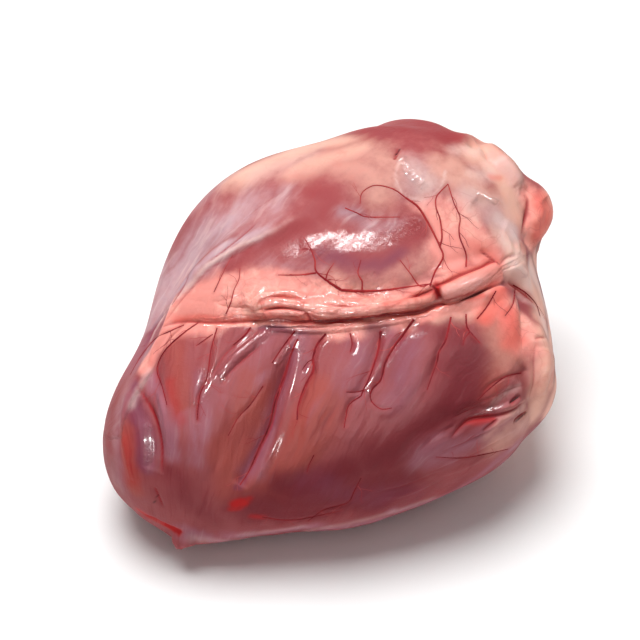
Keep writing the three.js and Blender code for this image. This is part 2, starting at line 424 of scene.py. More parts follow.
def print_relief():
    """Says how far the strokes have moved the skin up to now."""
    relief = (lift + rolls + cuts) / MM
    print("relief from", round(relief.min(), 2), "to", round(relief.max(), 2), "mm")

# %% [markdown]
# ## The seam and its fat
# Between the ventricles runs a groove, the seam, filled with fat that lies in long rolls. Towards the base
# lies one plump roll like a small sausage, with a dark gap under it. Towards the tip the rolls thin out
# into small lobes. The creases beside the rolls are the darkest lines of the whole picture, so they are cut
# deep.

# %% Sculpt the seam
SAUSAGE = [(441, 297), (455, 292), (470, 286), (487, 278), (502, 271)]
stroke(
    "ridge",
    (2.6, 1.5, [(430, 314), (447, 308), (468, 303), (488, 296), (507, 289)]),
    (2.2, 0.6, [(258, 327), (300, 328), (340, 327), (380, 323), (418, 316)]),
    (1.6, 0.5, [(325, 297), (350, 301), (380, 297), (405, 292), (430, 287)]),
    thin=0.3,
)
stroke("crease", (0.9, 0.6, SEAM[:7]), thin=0.5)
stroke(
    "crease",
    (0.8, 0.65, SEAM[5:11]),
    (0.9, 0.9, SEAM[9:]),
    (1.3, 1.0, [(432, 288), (447, 281), (463, 273), (480, 266), (492, 261), (502, 265)]),
    thin=0.3,
)
stroke(
    "roll",
    (0.7, 0.7, [(257, 325), (277, 323), (297, 325), (316, 326), (345, 325), (380, 321)]),
    (0.6, 0.6, [(270, 330), (310, 332), (345, 330), (375, 326), (398, 322), (418, 317)]),
    (0.5, 0.5, [(355, 324), (385, 321), (410, 317), (436, 311)]),
    (0.9, 0.6, [(253, 309), (258, 300), (270, 295), (288, 292), (307, 298)]),
    thin=0.3,
)
stroke(
    "roll",
    (2.6, 1.7, SAUSAGE),
    (1.25, 0.9, [(386, 308), (403, 305), (420, 301), (434, 296)]),
    (1.3, 0.9, [(312, 316), (330, 313), (352, 311), (372, 310), (388, 309)]),
    thin=0.25,
)
stroke(
    "roll",
    (1.0, 0.8, [(264, 315), (280, 313), (295, 313), (306, 316)]),
    (1.1, 0.9, [(261, 306), (275, 302), (290, 303), (304, 307)]),
    thin=0.35,
)
stroke(
    "crease",
    (0.6, 0.6, [(263, 310), (280, 308), (298, 310), (306, 314)]),
    (0.6, 0.5, [(259, 304), (270, 298), (288, 297), (304, 302)]),
    (0.7, 0.5, [(322, 303), (345, 306), (370, 304), (392, 301)]),
    (1.0, 0.9, [(388, 302), (413, 297), (428, 292), (436, 289)]),
    (0.8, 1.1, [(431, 285), (436, 290), (441, 300)]),
    (0.8, 0.6, [(302, 310), (307, 315), (312, 322)]),
)
print_relief()

# %% [markdown]
# ## The vessels' furrows
# Vessels run down from the seam over the left ventricle and up from it over the right one, where the
# photograph shows them, and along the two seams of the far side. Those on the left ventricle lie in
# furrows.

# %% Name the large vessels and press in the furrows
# Each vessel has its thickness in millimetres at the start and at the end, and its route.
UPPER_VEINS = [
    (0.7, 0.5, [
        (406, 198), (418, 207), (427, 221), (435, 236), (440, 247), (443, 257), (435, 272), (430, 286),
    ]),
    (0.25, 0.5, [(360, 204), (362, 193), (372, 186), (383, 186), (395, 190), (406, 198)]),
    (0.3, 0.5, [(448, 184), (437, 196), (436, 207), (440, 219), (442, 236), (440, 247)]),
    (0.3, 0.55, [(448, 184), (454, 203), (460, 217), (459, 228), (460, 238), (466, 254), (466, 267)]),
    (0.25, 0.8, [(304, 237), (308, 244), (312, 252), (315, 261), (316, 271), (326, 280), (341, 290)]),
    (0.8, 0.45, [(341, 290), (362, 291), (386, 290), (408, 287), (430, 284)]),
    (0.2, 0.55, [(278, 275), (299, 275), (316, 273)]),
    (0.5, 0.2, [(362, 290), (362, 281), (358, 273), (361, 260)]),
    (0.45, 0.2, [(326, 279), (328, 272), (334, 263)]),
    (0.3, 0.2, [(313, 252), (307, 249), (301, 250)]),
    (0.45, 0.3, [(430, 284), (420, 286), (410, 273), (400, 260)]),
    (0.4, 0.2, [(226, 314), (231, 302), (234, 290), (239, 279), (240, 268)]),
    (0.3, 0.15, [(214, 292), (221, 277), (226, 267), (233, 255)]),
    (0.4, 0.25, [(345, 208), (357, 213), (368, 217), (400, 217)]),
]
LOWER_VEINS = [
    (0.7, 0.4, [(381, 331), (378, 351), (370, 376), (364, 389), (361, 396)]),
    (0.4, 0.25, [(361, 396), (349, 405), (346, 417), (344, 428)]),
    (0.35, 0.2, [(364, 390), (356, 392), (346, 392)]),
    (0.8, 0.5, [(414, 319), (404, 333), (393, 348), (385, 363), (381, 379), (373, 388), (370, 394)]),
    (0.35, 0.2, [(370, 394), (372, 402), (381, 409), (392, 408)]),
    (0.7, 0.35, [(326, 334), (317, 345), (313, 359), (313, 370), (304, 388), (298, 406), (297, 420)]),
    (0.35, 0.2, [(313, 359), (307, 363), (302, 370)]),
    (0.5, 0.3, [(295, 331), (284, 345), (272, 363)]),
    (0.6, 0.35, [
        (298, 339), (292, 352), (284, 377), (275, 402), (269, 426), (259, 448), (249, 471), (240, 485),
    ]),
    (0.4, 0.25, [(350, 333), (352, 344), (350, 352)]),
    (0.6, 0.25, [(451, 317), (446, 339), (439, 352), (437, 362), (427, 390)]),
    (0.5, 0.25, [(466, 314), (467, 327), (473, 335), (480, 343)]),
    (0.3, 0.2, [(470, 332), (465, 338), (463, 345)]),
    (0.35, 0.45, [(496, 291), (486, 308), (477, 319)]),
    (0.45, 0.3, [(513, 285), (526, 293), (536, 304), (540, 316)]),
    (0.4, 0.2, [(515, 289), (513, 304), (505, 316)]),
    (0.4, 0.25, [(521, 373), (505, 377), (488, 390), (478, 400)]),
    (0.5, 0.3, [(251, 327), (244, 336), (233, 345)]),
    (0.45, 0.3, [(217, 328), (211, 350), (207, 378), (200, 395), (197, 420)]),
    (0.35, 0.2, [(213, 334), (203, 341), (196, 346)]),
    (0.5, 0.3, [(198, 323), (185, 332), (172, 343), (162, 355), (157, 370), (162, 386), (167, 405)]),
    (0.35, 0.25, [(184, 325), (168, 332), (155, 339), (141, 356), (130, 375)]),
    (0.3, 0.2, [(263, 386), (250, 405), (238, 418), (228, 436)]),
    (0.35, 0.25, [(361, 478), (354, 492), (347, 503), (324, 510), (308, 521)]),
    (0.3, 0.2, [(314, 455), (309, 465), (307, 472)]),
    (0.35, 0.2, [(262, 517), (282, 520), (302, 519), (340, 511)]),
    (0.35, 0.2, [(508, 449), (486, 454), (462, 458), (436, 457)]),
]
HIDDEN_VEINS = [
    (0.6, 0.3, [(60, -105), (76, -106), (92, -109), (108, -113), (124, -118), (138, -126)]),
    (0.35, 0.2, [(76, -106), (84, -98), (95, -92), (104, -90)]),
    (0.35, 0.2, [(92, -109), (100, -118), (112, -128), (120, -140)]),
    (0.35, 0.2, [(70, -106), (80, -120), (92, -132), (98, -145)]),
    (0.3, 0.2, [(100, -111), (108, -102), (118, -98), (128, -98)]),
    (0.6, 0.3, [(53, -64), (58, -84), (61, -100), (62, -122)]),
    (0.3, 0.2, [(57, -76), (66, -80), (78, -86), (86, -84)]),
    (0.35, 0.2, [(60, 120), (72, 128), (88, 132), (104, 140), (118, 142)]),
    (0.3, 0.2, [(64, 160), (78, 166), (92, 164), (108, 172)]),
]
stroke("crease", *[(0.7 + first, 0.1 + 0.6 * first, places) for first, _, places in LOWER_VEINS])
print("furrows under", len(LOWER_VEINS), "vessels")

# %% [markdown]
# ## The left ventricle
# Below the seam the muscle is drawn into folds that fan out towards the tip, with one long soft valley, a
# raised leaf of wet skin beside it, and hollows under the larger vessels.

# %% Sculpt the left ventricle
VALLEY = [(292, 348), (285, 375), (276, 400), (270, 424), (260, 446), (250, 468), (240, 486)]
stroke("valley", (3.4, 1.1, VALLEY), thin=0.25)
stroke(
    "crease",
    (1.4, 0.8, VALLEY),
    (0.9, 0.5, [(262, 345), (246, 357), (232, 370), (220, 386)]),
    (0.9, 0.5, [(248, 330), (236, 343), (222, 357), (210, 380)]),
    (1.0, 0.7, [(206, 380), (199, 395), (197, 412), (198, 424)]),
)
stroke(
    "ridge",
    (1.8, 0.6, [(299, 352), (292, 380), (285, 408), (279, 430), (268, 455), (254, 480), (243, 494)]),
    (2.0, 0.4, [(392, 335), (383, 352), (373, 375), (367, 392)]),
    thin=0.3,
)
stroke(
    "ridge",
    (1.6, 0.8, [(268, 331), (256, 340), (243, 351), (230, 363), (220, 377)]),
    (2.0, 0.4, [(214, 333), (206, 352), (200, 378), (196, 405)]),
    (2.4, 0.4, [(372, 402), (381, 410), (391, 408), (400, 398)]),
    (3.0, 0.4, [(226, 395), (216, 425), (206, 455), (200, 480)]),
)
stroke("valley", (2.6, 0.5, [(381, 331), (376, 351), (367, 380), (352, 404), (345, 428)]), thin=0.3)
stroke(
    "valley",
    (2.4, 0.35, [(450, 319), (444, 341), (435, 369), (424, 400)]),
    (3.0, 0.4, [(340, 440), (318, 463), (296, 483), (270, 498)]),
)
print_relief()

# %% [markdown]
# ## The membrane and the right ventricle
# A pale membrane is drawn tight over the far side. Its edge is a crest that runs from the tip up to the
# top, with a hollow and slack folds beyond it. The right ventricle itself is full and smooth.

# %% Sculpt the membrane
BEADS = [(403, 159), (406, 165), (409, 172), (415, 179), (422, 183)]  # a chain of wet drops
CREST = [(157, 327), (166, 312), (176, 298), (190, 281), (207, 264), (232, 250)]
CREST += [(261, 236), (282, 227), (298, 217)]
stroke(
    "ridge",
    (8, 0.4, [(300, 247), (345, 244), (390, 238)]),
    (1.4, 0.3, CREST),
    thin=0.5,
)
stroke(
    "crease",
    (0.9, 0.4, [(162, 326), (180, 301), (196, 283), (212, 267), (236, 255), (262, 241)]),
    thin=0.3,
)
stroke("ridge", (1.0, 0.15, [(296, 218), (310, 203), (320, 188), (326, 172)]), thin=0.3)
stroke(
    "crease",
    (1.0, 0.6, [(190, 268), (184, 285), (170, 306), (155, 326), (147, 344)]),
    (1.1, 0.6, [(258, 221), (240, 236), (222, 251), (206, 264)]),
    (0.9, 0.3, [(285, 190), (268, 200), (250, 214), (238, 226)]),
    (0.8, 0.9, [(399, 147), (397, 152), (394, 160)]),
    (0.9, 0.25, [(402, 155), (393, 168), (393, 184), (405, 196), (422, 200), (438, 194)]),
)
stroke(
    "ridge",
    (1.8, 0.5, [(176, 274), (170, 290), (158, 308), (150, 325)]),
    (1.8, 0.4, [(248, 205), (226, 222), (205, 243)]),
    (1.3, 0.3, [(477, 191), (487, 197), (498, 202)]),
    (3.4, 1.3, [(499, 156), (511, 168), (519, 184)]),
    (0.8, 0.5, [(503, 232), (509, 243), (512, 255)]),
    (0.8, 0.5, [(511, 230), (517, 242), (519, 254)]),
    (0.8, 0.5, [(519, 240), (524, 250), (524, 258)]),
)
stroke("valley", (2.4, 0.5, [(222, 228), (206, 246), (193, 262), (182, 280)]))
stroke("ridge", (5.5, 0.5, [(414, 170), (421, 177)]), thin=0)
stroke("valley", (3.2, 2.0, [(480, 136), (487, 144), (491, 152)]), thin=0)
stroke("valley", (4.0, 0.9, [(545, 198), (551, 212), (545, 232)]), thin=0.2)
stroke(
    "valley",
    (4.2, 0.8, [(474, 200), (490, 212), (506, 226)]),
    (1.8, 0.35, [(490, 150), (496, 162), (508, 177), (519, 192)]),
    thin=0.3,
)
stroke("ridge", *[(0.9, 0.45, [bead]) for bead in BEADS], thin=0)
print_relief()

# %% [markdown]
# ## The tip
# The tip is a round lobe, set off by a crease on its right and a flat purple wedge, with a small pointed
# flap of membrane below it.

# %% Sculpt the tip
stroke("crease", (1.0, 0.8, [(136, 384), (147, 402), (156, 424), (161, 448), (161, 474)]), thin=0.35)
stroke("ridge", (2.4, 2.0, [(179, 538), (183, 545)]), thin=0)
stroke(
    "ridge",
    (1.2, 0.4, [(155, 388), (162, 405), (167, 430), (168, 455)]),
    (2.2, 0.6, [(128, 392), (124, 420), (126, 450), (133, 480)]),
    (1.3, 0.5, [(172, 326), (162, 336), (154, 350), (150, 366)]),
)
stroke("valley", (3.4, 0.9, [(140, 400), (149, 425), (152, 450), (150, 470)]))
stroke(
    "crease",
    (1.0, 0.7, [(154, 486), (158, 497), (163, 508)]),
    (1.0, 0.5, [(132, 508), (148, 517), (166, 524), (182, 532)]),
    (0.9, 0.4, [(182, 326), (168, 340), (160, 356), (156, 376)]),
)
print_relief()

# %% [markdown]
# ## The base
# At the base the fat gathers into a rim. A fold runs from the end of the sausage over to the right edge, a
# plump lump of fat lies on the rim, and below it the skin is cut by several short dark slits. The stub of a
# vessel stands out at the top.

# %% Sculpt the base
stroke(
    "crease",
    (0.9, 0.7, [(479, 250), (490, 257), (500, 264)]),
    (0.9, 0.45, [(500, 266), (506, 258), (517, 255)]),
    (1.0, 0.7, [(507, 282), (518, 289), (528, 296), (536, 304)]),
    (1.0, 0.25, [(521, 265), (526, 270), (525, 277), (519, 277)]),
    (0.9, 0.5, [(534, 339), (540, 337), (548, 337)]),
    (1.0, 0.45, [(536, 342), (534, 358), (534, 378), (530, 400)]),
    (1.1, 0.9, [(527, 402), (513, 410), (498, 415), (483, 417), (470, 420), (460, 428), (450, 438)]),
    (0.9, 0.9, [(519, 395), (515, 399), (509, 404)]),
    (0.9, 0.9, [(528, 412), (521, 417), (514, 423)]),
    (0.8, 0.7, [(498, 418), (490, 425), (482, 431)]),
    (0.8, 0.4, [(476, 434), (465, 442)]),
    (0.8, 0.35, [(505, 448), (486, 454), (462, 458), (438, 457)]),
    (0.9, 0.5, [(527, 370), (513, 375), (503, 378), (488, 387), (481, 397)]),
    (0.8, 0.3, [(510, 384), (492, 396), (478, 404)]),
    (0.8, 0.35, [(525, 385), (505, 391), (480, 402), (456, 412)]),
    (0.8, 0.35, [(500, 425), (472, 439), (440, 452)]),
    (0.8, 0.35, [(478, 406), (452, 418)]),
)
stroke("ridge", (2.6, 0.6, [(512, 264), (522, 270), (530, 281)]), thin=0.35)
stroke(
    "ridge",
    (4.2, 0.7, [(517, 300), (520, 318), (521, 342), (520, 366)]),
    (2.4, 0.9, [(545, 347), (546, 362), (545, 380), (540, 396)]),
    thin=0.3,
)
stroke(
    "ridge",
    (1.3, 0.5, [(521, 401), (507, 407), (494, 411), (478, 413)]),
    (1.6, 0.5, [(520, 408), (507, 416), (495, 424), (484, 434)]),
    (1.6, 0.4, [(520, 381), (506, 387), (494, 396), (480, 405)]),
    (2.4, 0.9, [(537, 200), (541, 212), (537, 226)]),
)
stroke("crease", (1.2, 1.0, [(527, 192), (528, 206), (525, 222), (522, 236)]), thin=0.35)
stroke(
    "valley",
    (2.2, 0.9, [(520, 188), (526, 191), (532, 190)]),
    (2.2, 0.9, [(523, 238), (530, 241), (537, 240)]),
    thin=0.3,
)
for fold in (
    [(515, 432), (490, 446), (460, 461), (428, 472)],
    [(455, 425), (436, 436), (418, 452)],
    [(440, 470), (405, 486), (380, 492)],
):
    stroke("crease", (0.8, 0.3, fold))
    stroke("ridge", (1.6, 0.25, [(x + 4, y + 6) for x, y in fold]))
print_relief()

# %% [markdown]
# ## The far side
# The photograph doesn't show the far side and the underside. On a real heart a second seam runs there,
# between the same two ventricles, and a third one goes round the base, above the ventricles. Both carry fat
# in rolls. They are made like the front one, only plainer. The large vessels were cut off at the base end,
# and their soft walls lie pressed shut there, so each mouth is a deep crease with lips of fat beside it.

# %% Sculpt the far side
MOUTHS = [  # each one's crease, and its lips
    (
        BASE_END,
        [
            [(27, -44), (17, -22), (12, 18), (17, 55)],
            [(27, -84), (18, -84), (11, -120), (13, 130), (19, 102)],
        ],
    ),
    ([(30, -128), (25, -158), (25, 170), (30, 140)], [[(34, -140), (31, 180), (34, 150)]]),
]
for mouth, lips in MOUTHS:
    stroke("crease", (2.4, 2.4, mouth), angles=True, thin=0.3)
    stroke("roll", *[(2.6, 1.0, lip) for lip in lips], angles=True)
stroke("crease", (1.6, 0.9, BACK_SEAM), angles=True, thin=0.3)
stroke("crease", (1.6, 0.9, BASE_SEAM[2:]), angles=True, thin=0.1)
stroke(
    "roll",
    (2.6, 0.9, [(66, -98), (78, -101), (92, -104), (106, -108), (118, -114)]),
    (2.8, 0.9, [(50, -76), (52, -88), (54, -98), (55, -122)]),
    angles=True,
    thin=0.3,
)
stroke("roll", (1.8, 0.6, [(72, -116), (88, -119), (104, -123)]), angles=True)
stroke(
    "crease",
    (1.4, 0.5, [(98, -64), (99, -76), (104, -90)]),
    (1.4, 0.4, [(82, -68), (88, -77), (98, -86)]),
    angles=True,
)
for start in (-150, 170, 140):
    stroke("crease", (1.4, 0.4, [(78, start), (96, start + 8), (114, start + 10)]), angles=True)
print_relief()

# %% [markdown]
# ## Grain
# Muscle has a grain, and the skin over it is drawn into folds along it. On the left ventricle the folds fan
# out from a place far below the tip, and on the right one, with its membrane, from a place far to the left.
# Every point of the skin gets coordinates on such a fan: across the folds, along them, and towards the
# camera. The sculpting below uses them, and so does the material, so the fine lines of both agree.

# %% Work out the grain
LEFT_FAN = (160, 760)  # the pixels where the folds of each side would meet
RIGHT_FAN = (-20, 600)
FAN_REACH = 85 * MM  # how far from there the coordinate across has its true size


def fan(points, x, y):
    """Each point's place on a fan of folds: across them, along them, and towards the camera."""
    meeting = MIDDLE + right * (x - MIDDLE_PIXEL[0]) * pixel - upward * (y - MIDDLE_PIXEL[1]) * pixel
    gap = points - np.array(meeting)
    aside, ahead = gap @ np.array(right), gap @ np.array(upward)
    return np.stack([np.arctan2(aside, ahead) * FAN_REACH, np.hypot(aside, ahead), gap @ np.array(back)], 1)


def angles_of(points):
    """Lean and clock of every point, in degrees."""
    gap = points - np.array(HEART_CENTRE)
    lean = np.degrees(np.arccos(gap[:, 0] / np.linalg.norm(gap, axis=1)))
    clock = np.degrees(np.arctan2(-gap[:, 1], gap[:, 2]))
    return lean, clock


def ease(value, low, high):
    """0 below low, 1 above high, and a smooth rise between."""
    t = np.clip((value - low) / (high - low), 0, 1)
    return t * t * (3 - 2 * t)

# %% [markdown]
# The two seams part the ventricles. The front one is seen in the photograph, the back one is set where it
# lies on a real heart. Between them, over the top, is the right ventricle.

# %% Part the two ventricles
FRONT_SEAM = [(46, 47), (58, 48), (70, 46), (85, 41), (103, 35), (122, 24), (136, 9), (147, -12), (151, -33)]
SEAM_BLUR = 2.0  # degrees

front_lean, front_clock = zip(*FRONT_SEAM)
back_lean, back_clock = zip(*BACK_SEAM)


def right_side(points):
    """1 on the right ventricle and 0 on the left one."""
    lean, clock = angles_of(points)
    from_front = clock - np.interp(lean, front_lean, front_clock)
    from_back = clock - np.interp(lean, back_lean, back_clock)
    return (1 - ease(from_front, -SEAM_BLUR, SEAM_BLUR)) * ease(from_back, -SEAM_BLUR, SEAM_BLUR)


def grain_of(points):
    """Each side's fan coordinates, blended at the seams."""
    share = right_side(points)[:, None]
    return fan(points, *RIGHT_FAN) * share + fan(points, *LEFT_FAN) * (1 - share)


print("right ventricle:", round(100 * right_side(skin["points"]).mean()), "% of the points")

# %% [markdown]
# Fine folds are then pressed into the skin along the grain, strongest under the seam. They come from a
# noise: a table of random heights with a smooth blend between neighbours, read off at the grain's
# coordinates. It is seeded, so each run gives the same folds. Above the seam the fat is gathered into small
# lobes, along the seam and across it.

# %% Press in the grain's fine folds
GRAIN_SEED = 7
TABLE = 64
heights = np.random.default_rng(GRAIN_SEED).random((TABLE, TABLE)) - 0.5


def noise(x, y):
    """Smooth noise between -0.5 and 0.5, one hill to a unit."""
    left, row = np.floor(x).astype(int), np.floor(y).astype(int)
    u, v = x - left, y - row
    u, v = u * u * (3 - 2 * u), v * v * (3 - 2 * v)

    def corner(dx, dy):
        return heights[(left + dx) % TABLE, (row + dy) % TABLE]

    low = corner(0, 0) * (1 - u) + corner(1, 0) * u
    high = corner(0, 1) * (1 - u) + corner(1, 1) * u
    return low * (1 - v) + high * v


def wander(points, size):
    """A wavering shift of every point, for uneven edges. Size is the length of its waves."""
    x, y, z = (points / size).T
    return np.stack([noise(x + 0.6 * z, y + 5), noise(y - 0.7 * x + 20, z), noise(z + 0.5 * y, x + 40)], 1)


def lobed(height):
    """Turns noise into round lobes with sharp grooves between them."""
    return np.sqrt(np.abs(height) * 2)


across, along, towards = (grain_of(skin["points"] + wander(skin["points"], 9 * MM) * 2 * MM) / MM).T
way = along + towards
# Folds about 4.5 mm wide and 18 mm long, with finer and shorter ones between them.
folds = noise(across / 4.5, way / 18) + noise(across / 2.1 + 9, way / 12) * 0.8
folds += noise(across / 1.0 + 31, way / 7) * 0.25
lean, clock = angles_of(skin["points"])
under_seam = ease(clock, 38, 50) * (1 - ease(clock, 70, 105)) * ease(lean, 35, 60)
hidden = ease(-skin["normals"] @ np.array(back), 0, 0.4)
# They are lowest on the right ventricle and highest under the seam.
lift += folds * MM * (0.14 + 0.18 * (1 - right_side(skin["points"])) + 0.4 * under_seam + 0.35 * hidden)

index, _, share, above = beside(skin["points"], route(skin, SEAM), 10 * MM)
above /= MM
band = ease(above, -2.5, 0) * (1 - ease(above, 4, 9.5))
band *= ease(share, 0.05, 0.3) * (1 - ease(share, 0.7, 0.82))
run = share * 80  # the seam is about 80 mm long
bent = above + noise(run / 6, above / 5) * 2
gathers = lobed(noise(run / 12, bent / 2.0)) * 0.8 + lobed(noise(run / 5 + 7, bent / 1.2)) * 0.2
lift[index] += (gathers - 0.5) * band * MM

moved = skin["points"] + skin["normals"] * (lift + rolls + cuts)[:, None]
moved[:, 2] = np.maximum(moved[:, 2], 0)
meat.data.vertices.foreach_set("co", moved.astype(np.float32).ravel())
meat.data.update()
apply_modifier(meat, "SMOOTH", factor=0.4, iterations=1)
skin = read_skin(meat)
print("sculpted; box in mm:", [round(d / MM, 1) for d in meat.dimensions])

# %% [markdown]
# ## Where each tissue and each painted shade lies
# The colours follow the tissues: red muscle on the left ventricle, mauve muscle on the right one, salmon
# fat in the seam, pale peach fat at the top and round the base, a lilac film where a membrane covers the
# meat, and a few blood spots. Some masks also carry painted light and shade: painted shade in the creases,
# the slits and the hollows and low on the left ventricle, a painted sheen on the tops of its folds, a
# painted reflection of the floor along the lower edge, and painted highlights on the sausage and the tip's
# edge. A mask is a number at every point of the skin that is 0 where its tissue or shade is missing and 1
# or more where it is full. It is laid on in soft strokes, like paint. The strokes follow a wavering copy of
# the points, so their edges are uneven. Finer noise frays the edges of a mask later, in the material.
#
# A call lays several strokes of one mask. Each is given by its width to one side in millimetres, its level
# and its route.

# %% Helpers for masks
points = skin["points"]
MASK_NAMES = "deep brown violet film peach salmon grey pale blush blood stain slit gloss".split()
masks = {name: np.zeros(len(points)) for name in MASK_NAMES}
masks["right"] = right_side(points) * (1 - ease(lean, 144, 153))  # the tip belongs to the left ventricle
astray = wander(points, 7 * MM) * 3.5 * MM + wander(points, 2.5 * MM) * 1.2 * MM


def spread(name, amount, index=slice(None)):
    """Raises a mask to an amount where it is lower."""
    masks[name][index] = np.maximum(masks[name][index], amount)


def touched(width, line, soft=1.0):
    """What a soft brush touches along a line: the points, how strongly, and the share of the way."""
    index, distance, share, _ = beside(points + astray * min(1, width / 7), line, width * MM)
    return index, 1 - ease(distance / (width * MM), 1 - soft, 1), share


def tint(name, width, level, line, soft=1.0, thin=0):
    """Lays one stroke of a mask along a line."""
    index, strength, share = touched(width, line, soft)
    spread(name, level * strength * ends(share, thin), index)


def paint(name, *marks, soft=1.0, angles=False, thin=0):
    """Lays strokes of a mask along routes."""
    for width, level, places in marks:
        tint(name, width, level, route(skin, places, angles), soft, thin)


def rub(name, *marks):
    """Takes a mask away again along routes. Each has its width and its places."""
    for width, places in marks:
        index, strength, _ = touched(width, route(skin, places))
        masks[name][index] *= 1 - strength


def print_shares(*names):
    """Says how much of the skin some masks cover."""
    print({name: round(float(masks[name].mean()), 3) for name in names})

# %% [markdown]
# Bare muscle has three tones besides its own: a deep red where it is thick, which is also laid on as a
# painted shade low on the left ventricle and in the hollows of its folds, a browner red on the left
# ventricle's folds, and violet, a painted shade in the hollows and creases and low on the left ventricle,
# where less light reaches the meat, and the own purple of the wedge at the tip.

# %% Paint the muscle, and its painted shade
paint(
    "deep",
    (7, 1, [(315, 188), (334, 198), (325, 212)]),
    (4.5, 1, [(308, 224), (285, 234), (264, 244), (246, 256), (240, 262)]),
    (6, 0.9, [(318, 246), (345, 257), (375, 260), (402, 254), (412, 240)]),
    (9, 0.5, [(375, 225), (395, 235), (410, 225)]),
    (7, 1.3, [(362, 131), (395, 127), (430, 129), (452, 138)]),
    (2.5, 0.6, [(405, 147), (418, 150), (430, 154)]),
    (14, 1, [(460, 345), (465, 375), (448, 405)]),
    # From here on the deep red is partly a painted shade: the lower part of the left ventricle and the long
    # valley, where less light reaches.
    (14, 0.9, [(445, 412), (410, 438), (378, 460)]),
    (8, 0.6, [(430, 488), (400, 503), (360, 514)]),
    (11, 1, [(345, 470), (312, 482), (284, 488)]),
    (11, 0.9, [(400, 495), (350, 507), (300, 512), (262, 516)]),
    (6, 0.3, [(340, 385), (330, 420), (315, 450)]),
    (4, 0.7, [(282, 375), (274, 405), (262, 440), (246, 472)]),
    (8, 0.6, [(170, 475), (190, 500), (215, 525)]),
    (14, 0.9, [(400, 480), (350, 492), (300, 502), (260, 508)]),
    (5, 0.7, [(232, 508), (244, 502), (254, 500)]),
)
paint("deep", (8, 1.3, [(60, -34), (52, -38), (46, -38), (42, -36), (38, -30)]), angles=True)
# Painted shade in the hollows, the creases and low on the left ventricle, and the own purple of the tip
# wedge.
paint(
    "violet",
    (1.8, 0.9, VALLEY),
    (2.4, 1, [(134, 388), (137, 400)]),
    (4.6, 1, [(136, 404), (142, 424), (148, 444), (150, 464)]),
    (8, 0.55, [(310, 480), (345, 494), (372, 498), (410, 494)]),
    (5, 0.5, [(352, 340), (356, 356)]),
    (6, 0.65, [(402, 345), (398, 375), (392, 395)]),
    (2.4, 0.8, [(196, 262), (186, 282), (171, 306), (156, 326), (147, 346)]),
    (3.0, 0.5, [(230, 222), (212, 242), (198, 262)]),
    (4.5, 0.75, [(320, 256), (350, 262), (382, 262), (402, 255)]),
    (3, 0.6, [(345, 212), (360, 216)]),
    (2.4, 0.4, [(342, 303), (365, 303), (392, 299), (418, 292)]),
    (1.6, 0.6, [(262, 329), (300, 331), (345, 330), (385, 326)]),
)
paint(
    "brown",
    (11, 1, [(245, 395), (235, 440), (240, 480)]),
    (10, 1, [(318, 390), (310, 425), (290, 460), (268, 492)]),
    (6, 1, [(126, 440), (128, 465), (136, 490)]),
    (6, 0.8, [(178, 350), (176, 390), (178, 425)]),
    (11, 1, [(500, 330), (502, 355), (490, 385)]),
    (8, 0.6, [(500, 400), (515, 415), (525, 400)]),
    (9, 1, [(512, 345), (508, 365), (490, 380)]),
)
print_shares("deep", "violet", "brown")

# %% [markdown]
# A thin film covers the muscle in patches and turns it lilac. Along the lower edge the same mask is a
# painted reflection of the white floor. The fat lies over both, and its colour follows its thickness: peach
# in the thick fat at the top and round the base, salmon in the fat of the seam.

# %% Paint the film and the fat, and a painted reflection of the floor
paint(
    "film",
    (14, 0.6, [(140, 360), (152, 318), (175, 275), (205, 240), (240, 215)]),
    (7, 0.45, [(150, 345), (180, 296), (215, 260), (260, 225), (290, 195)]),
    (6, 0.55, [(126, 395), (115, 440), (122, 485)]),
    (3.5, 0.4, [(146, 425), (151, 445), (153, 468)]),
    (5, 0.8, [(150, 372), (158, 395), (166, 425), (170, 450)]),
    (6, 0.6, [(300, 338), (292, 370), (281, 400), (268, 435), (255, 465)]),
    (9, 0.5, [(360, 335), (358, 360), (350, 385)]),
    (9, 0.5, [(402, 335), (402, 365), (392, 395)]),
    (9, 0.45, [(270, 340), (240, 365), (215, 400)]),
    (5, 0.6, [(200, 375), (200, 410), (198, 460)]),
    # Painted reflection of the white floor along the lower edge.
    (4.5, 0.75, [(180, 534), (230, 541), (300, 534), (360, 523), (430, 506), (480, 481), (520, 448)]),
    (9, 0.65, [(430, 455), (475, 438), (515, 418)]),
    (5, 0.4, [(345, 212), (370, 222), (392, 224)]),
    (5, 0.35, [(268, 264), (290, 269), (310, 265)]),
    (1.6, 0.7, [(250, 326), (297, 327), (345, 327), (385, 323)]),
)
paint(
    "peach",
    (11, 1, [(245, 175), (275, 160), (310, 147), (345, 138)]),
    (9, 0.8, [(300, 170), (330, 158), (355, 150)]),
    (10, 0.6, [(340, 165), (365, 172), (378, 190), (385, 170), (375, 155)]),
    (6, 0.48, [(332, 277), (355, 281), (385, 280), (415, 274), (428, 262)]),
    (11, 1, [(465, 145), (488, 160), (505, 180), (512, 205)]),
    (7, 0.7, [(440, 160), (448, 175), (462, 185)]),
    (9, 0.7, [(455, 165), (472, 182), (478, 198), (500, 200)]),
    (6, 1, [(505, 235), (512, 245), (520, 255)]),
    (7, 1, [(514, 262), (527, 275), (536, 297), (544, 328)]),
    (7, 1, [(546, 345), (548, 370), (544, 395), (538, 412)]),
    (12, 0.5, [(502, 315), (505, 338), (508, 356)]),
    (5.5, 0.75, [(440, 313), (465, 310), (490, 303), (500, 296)]),
    (4, 0.5, [(524, 405), (512, 412), (500, 422), (488, 436)]),
    (9, 0.65, [(536, 412), (520, 424), (500, 440)]),
    (5, 1, [(540, 256), (550, 290), (556, 335), (558, 375), (550, 408)]),
)
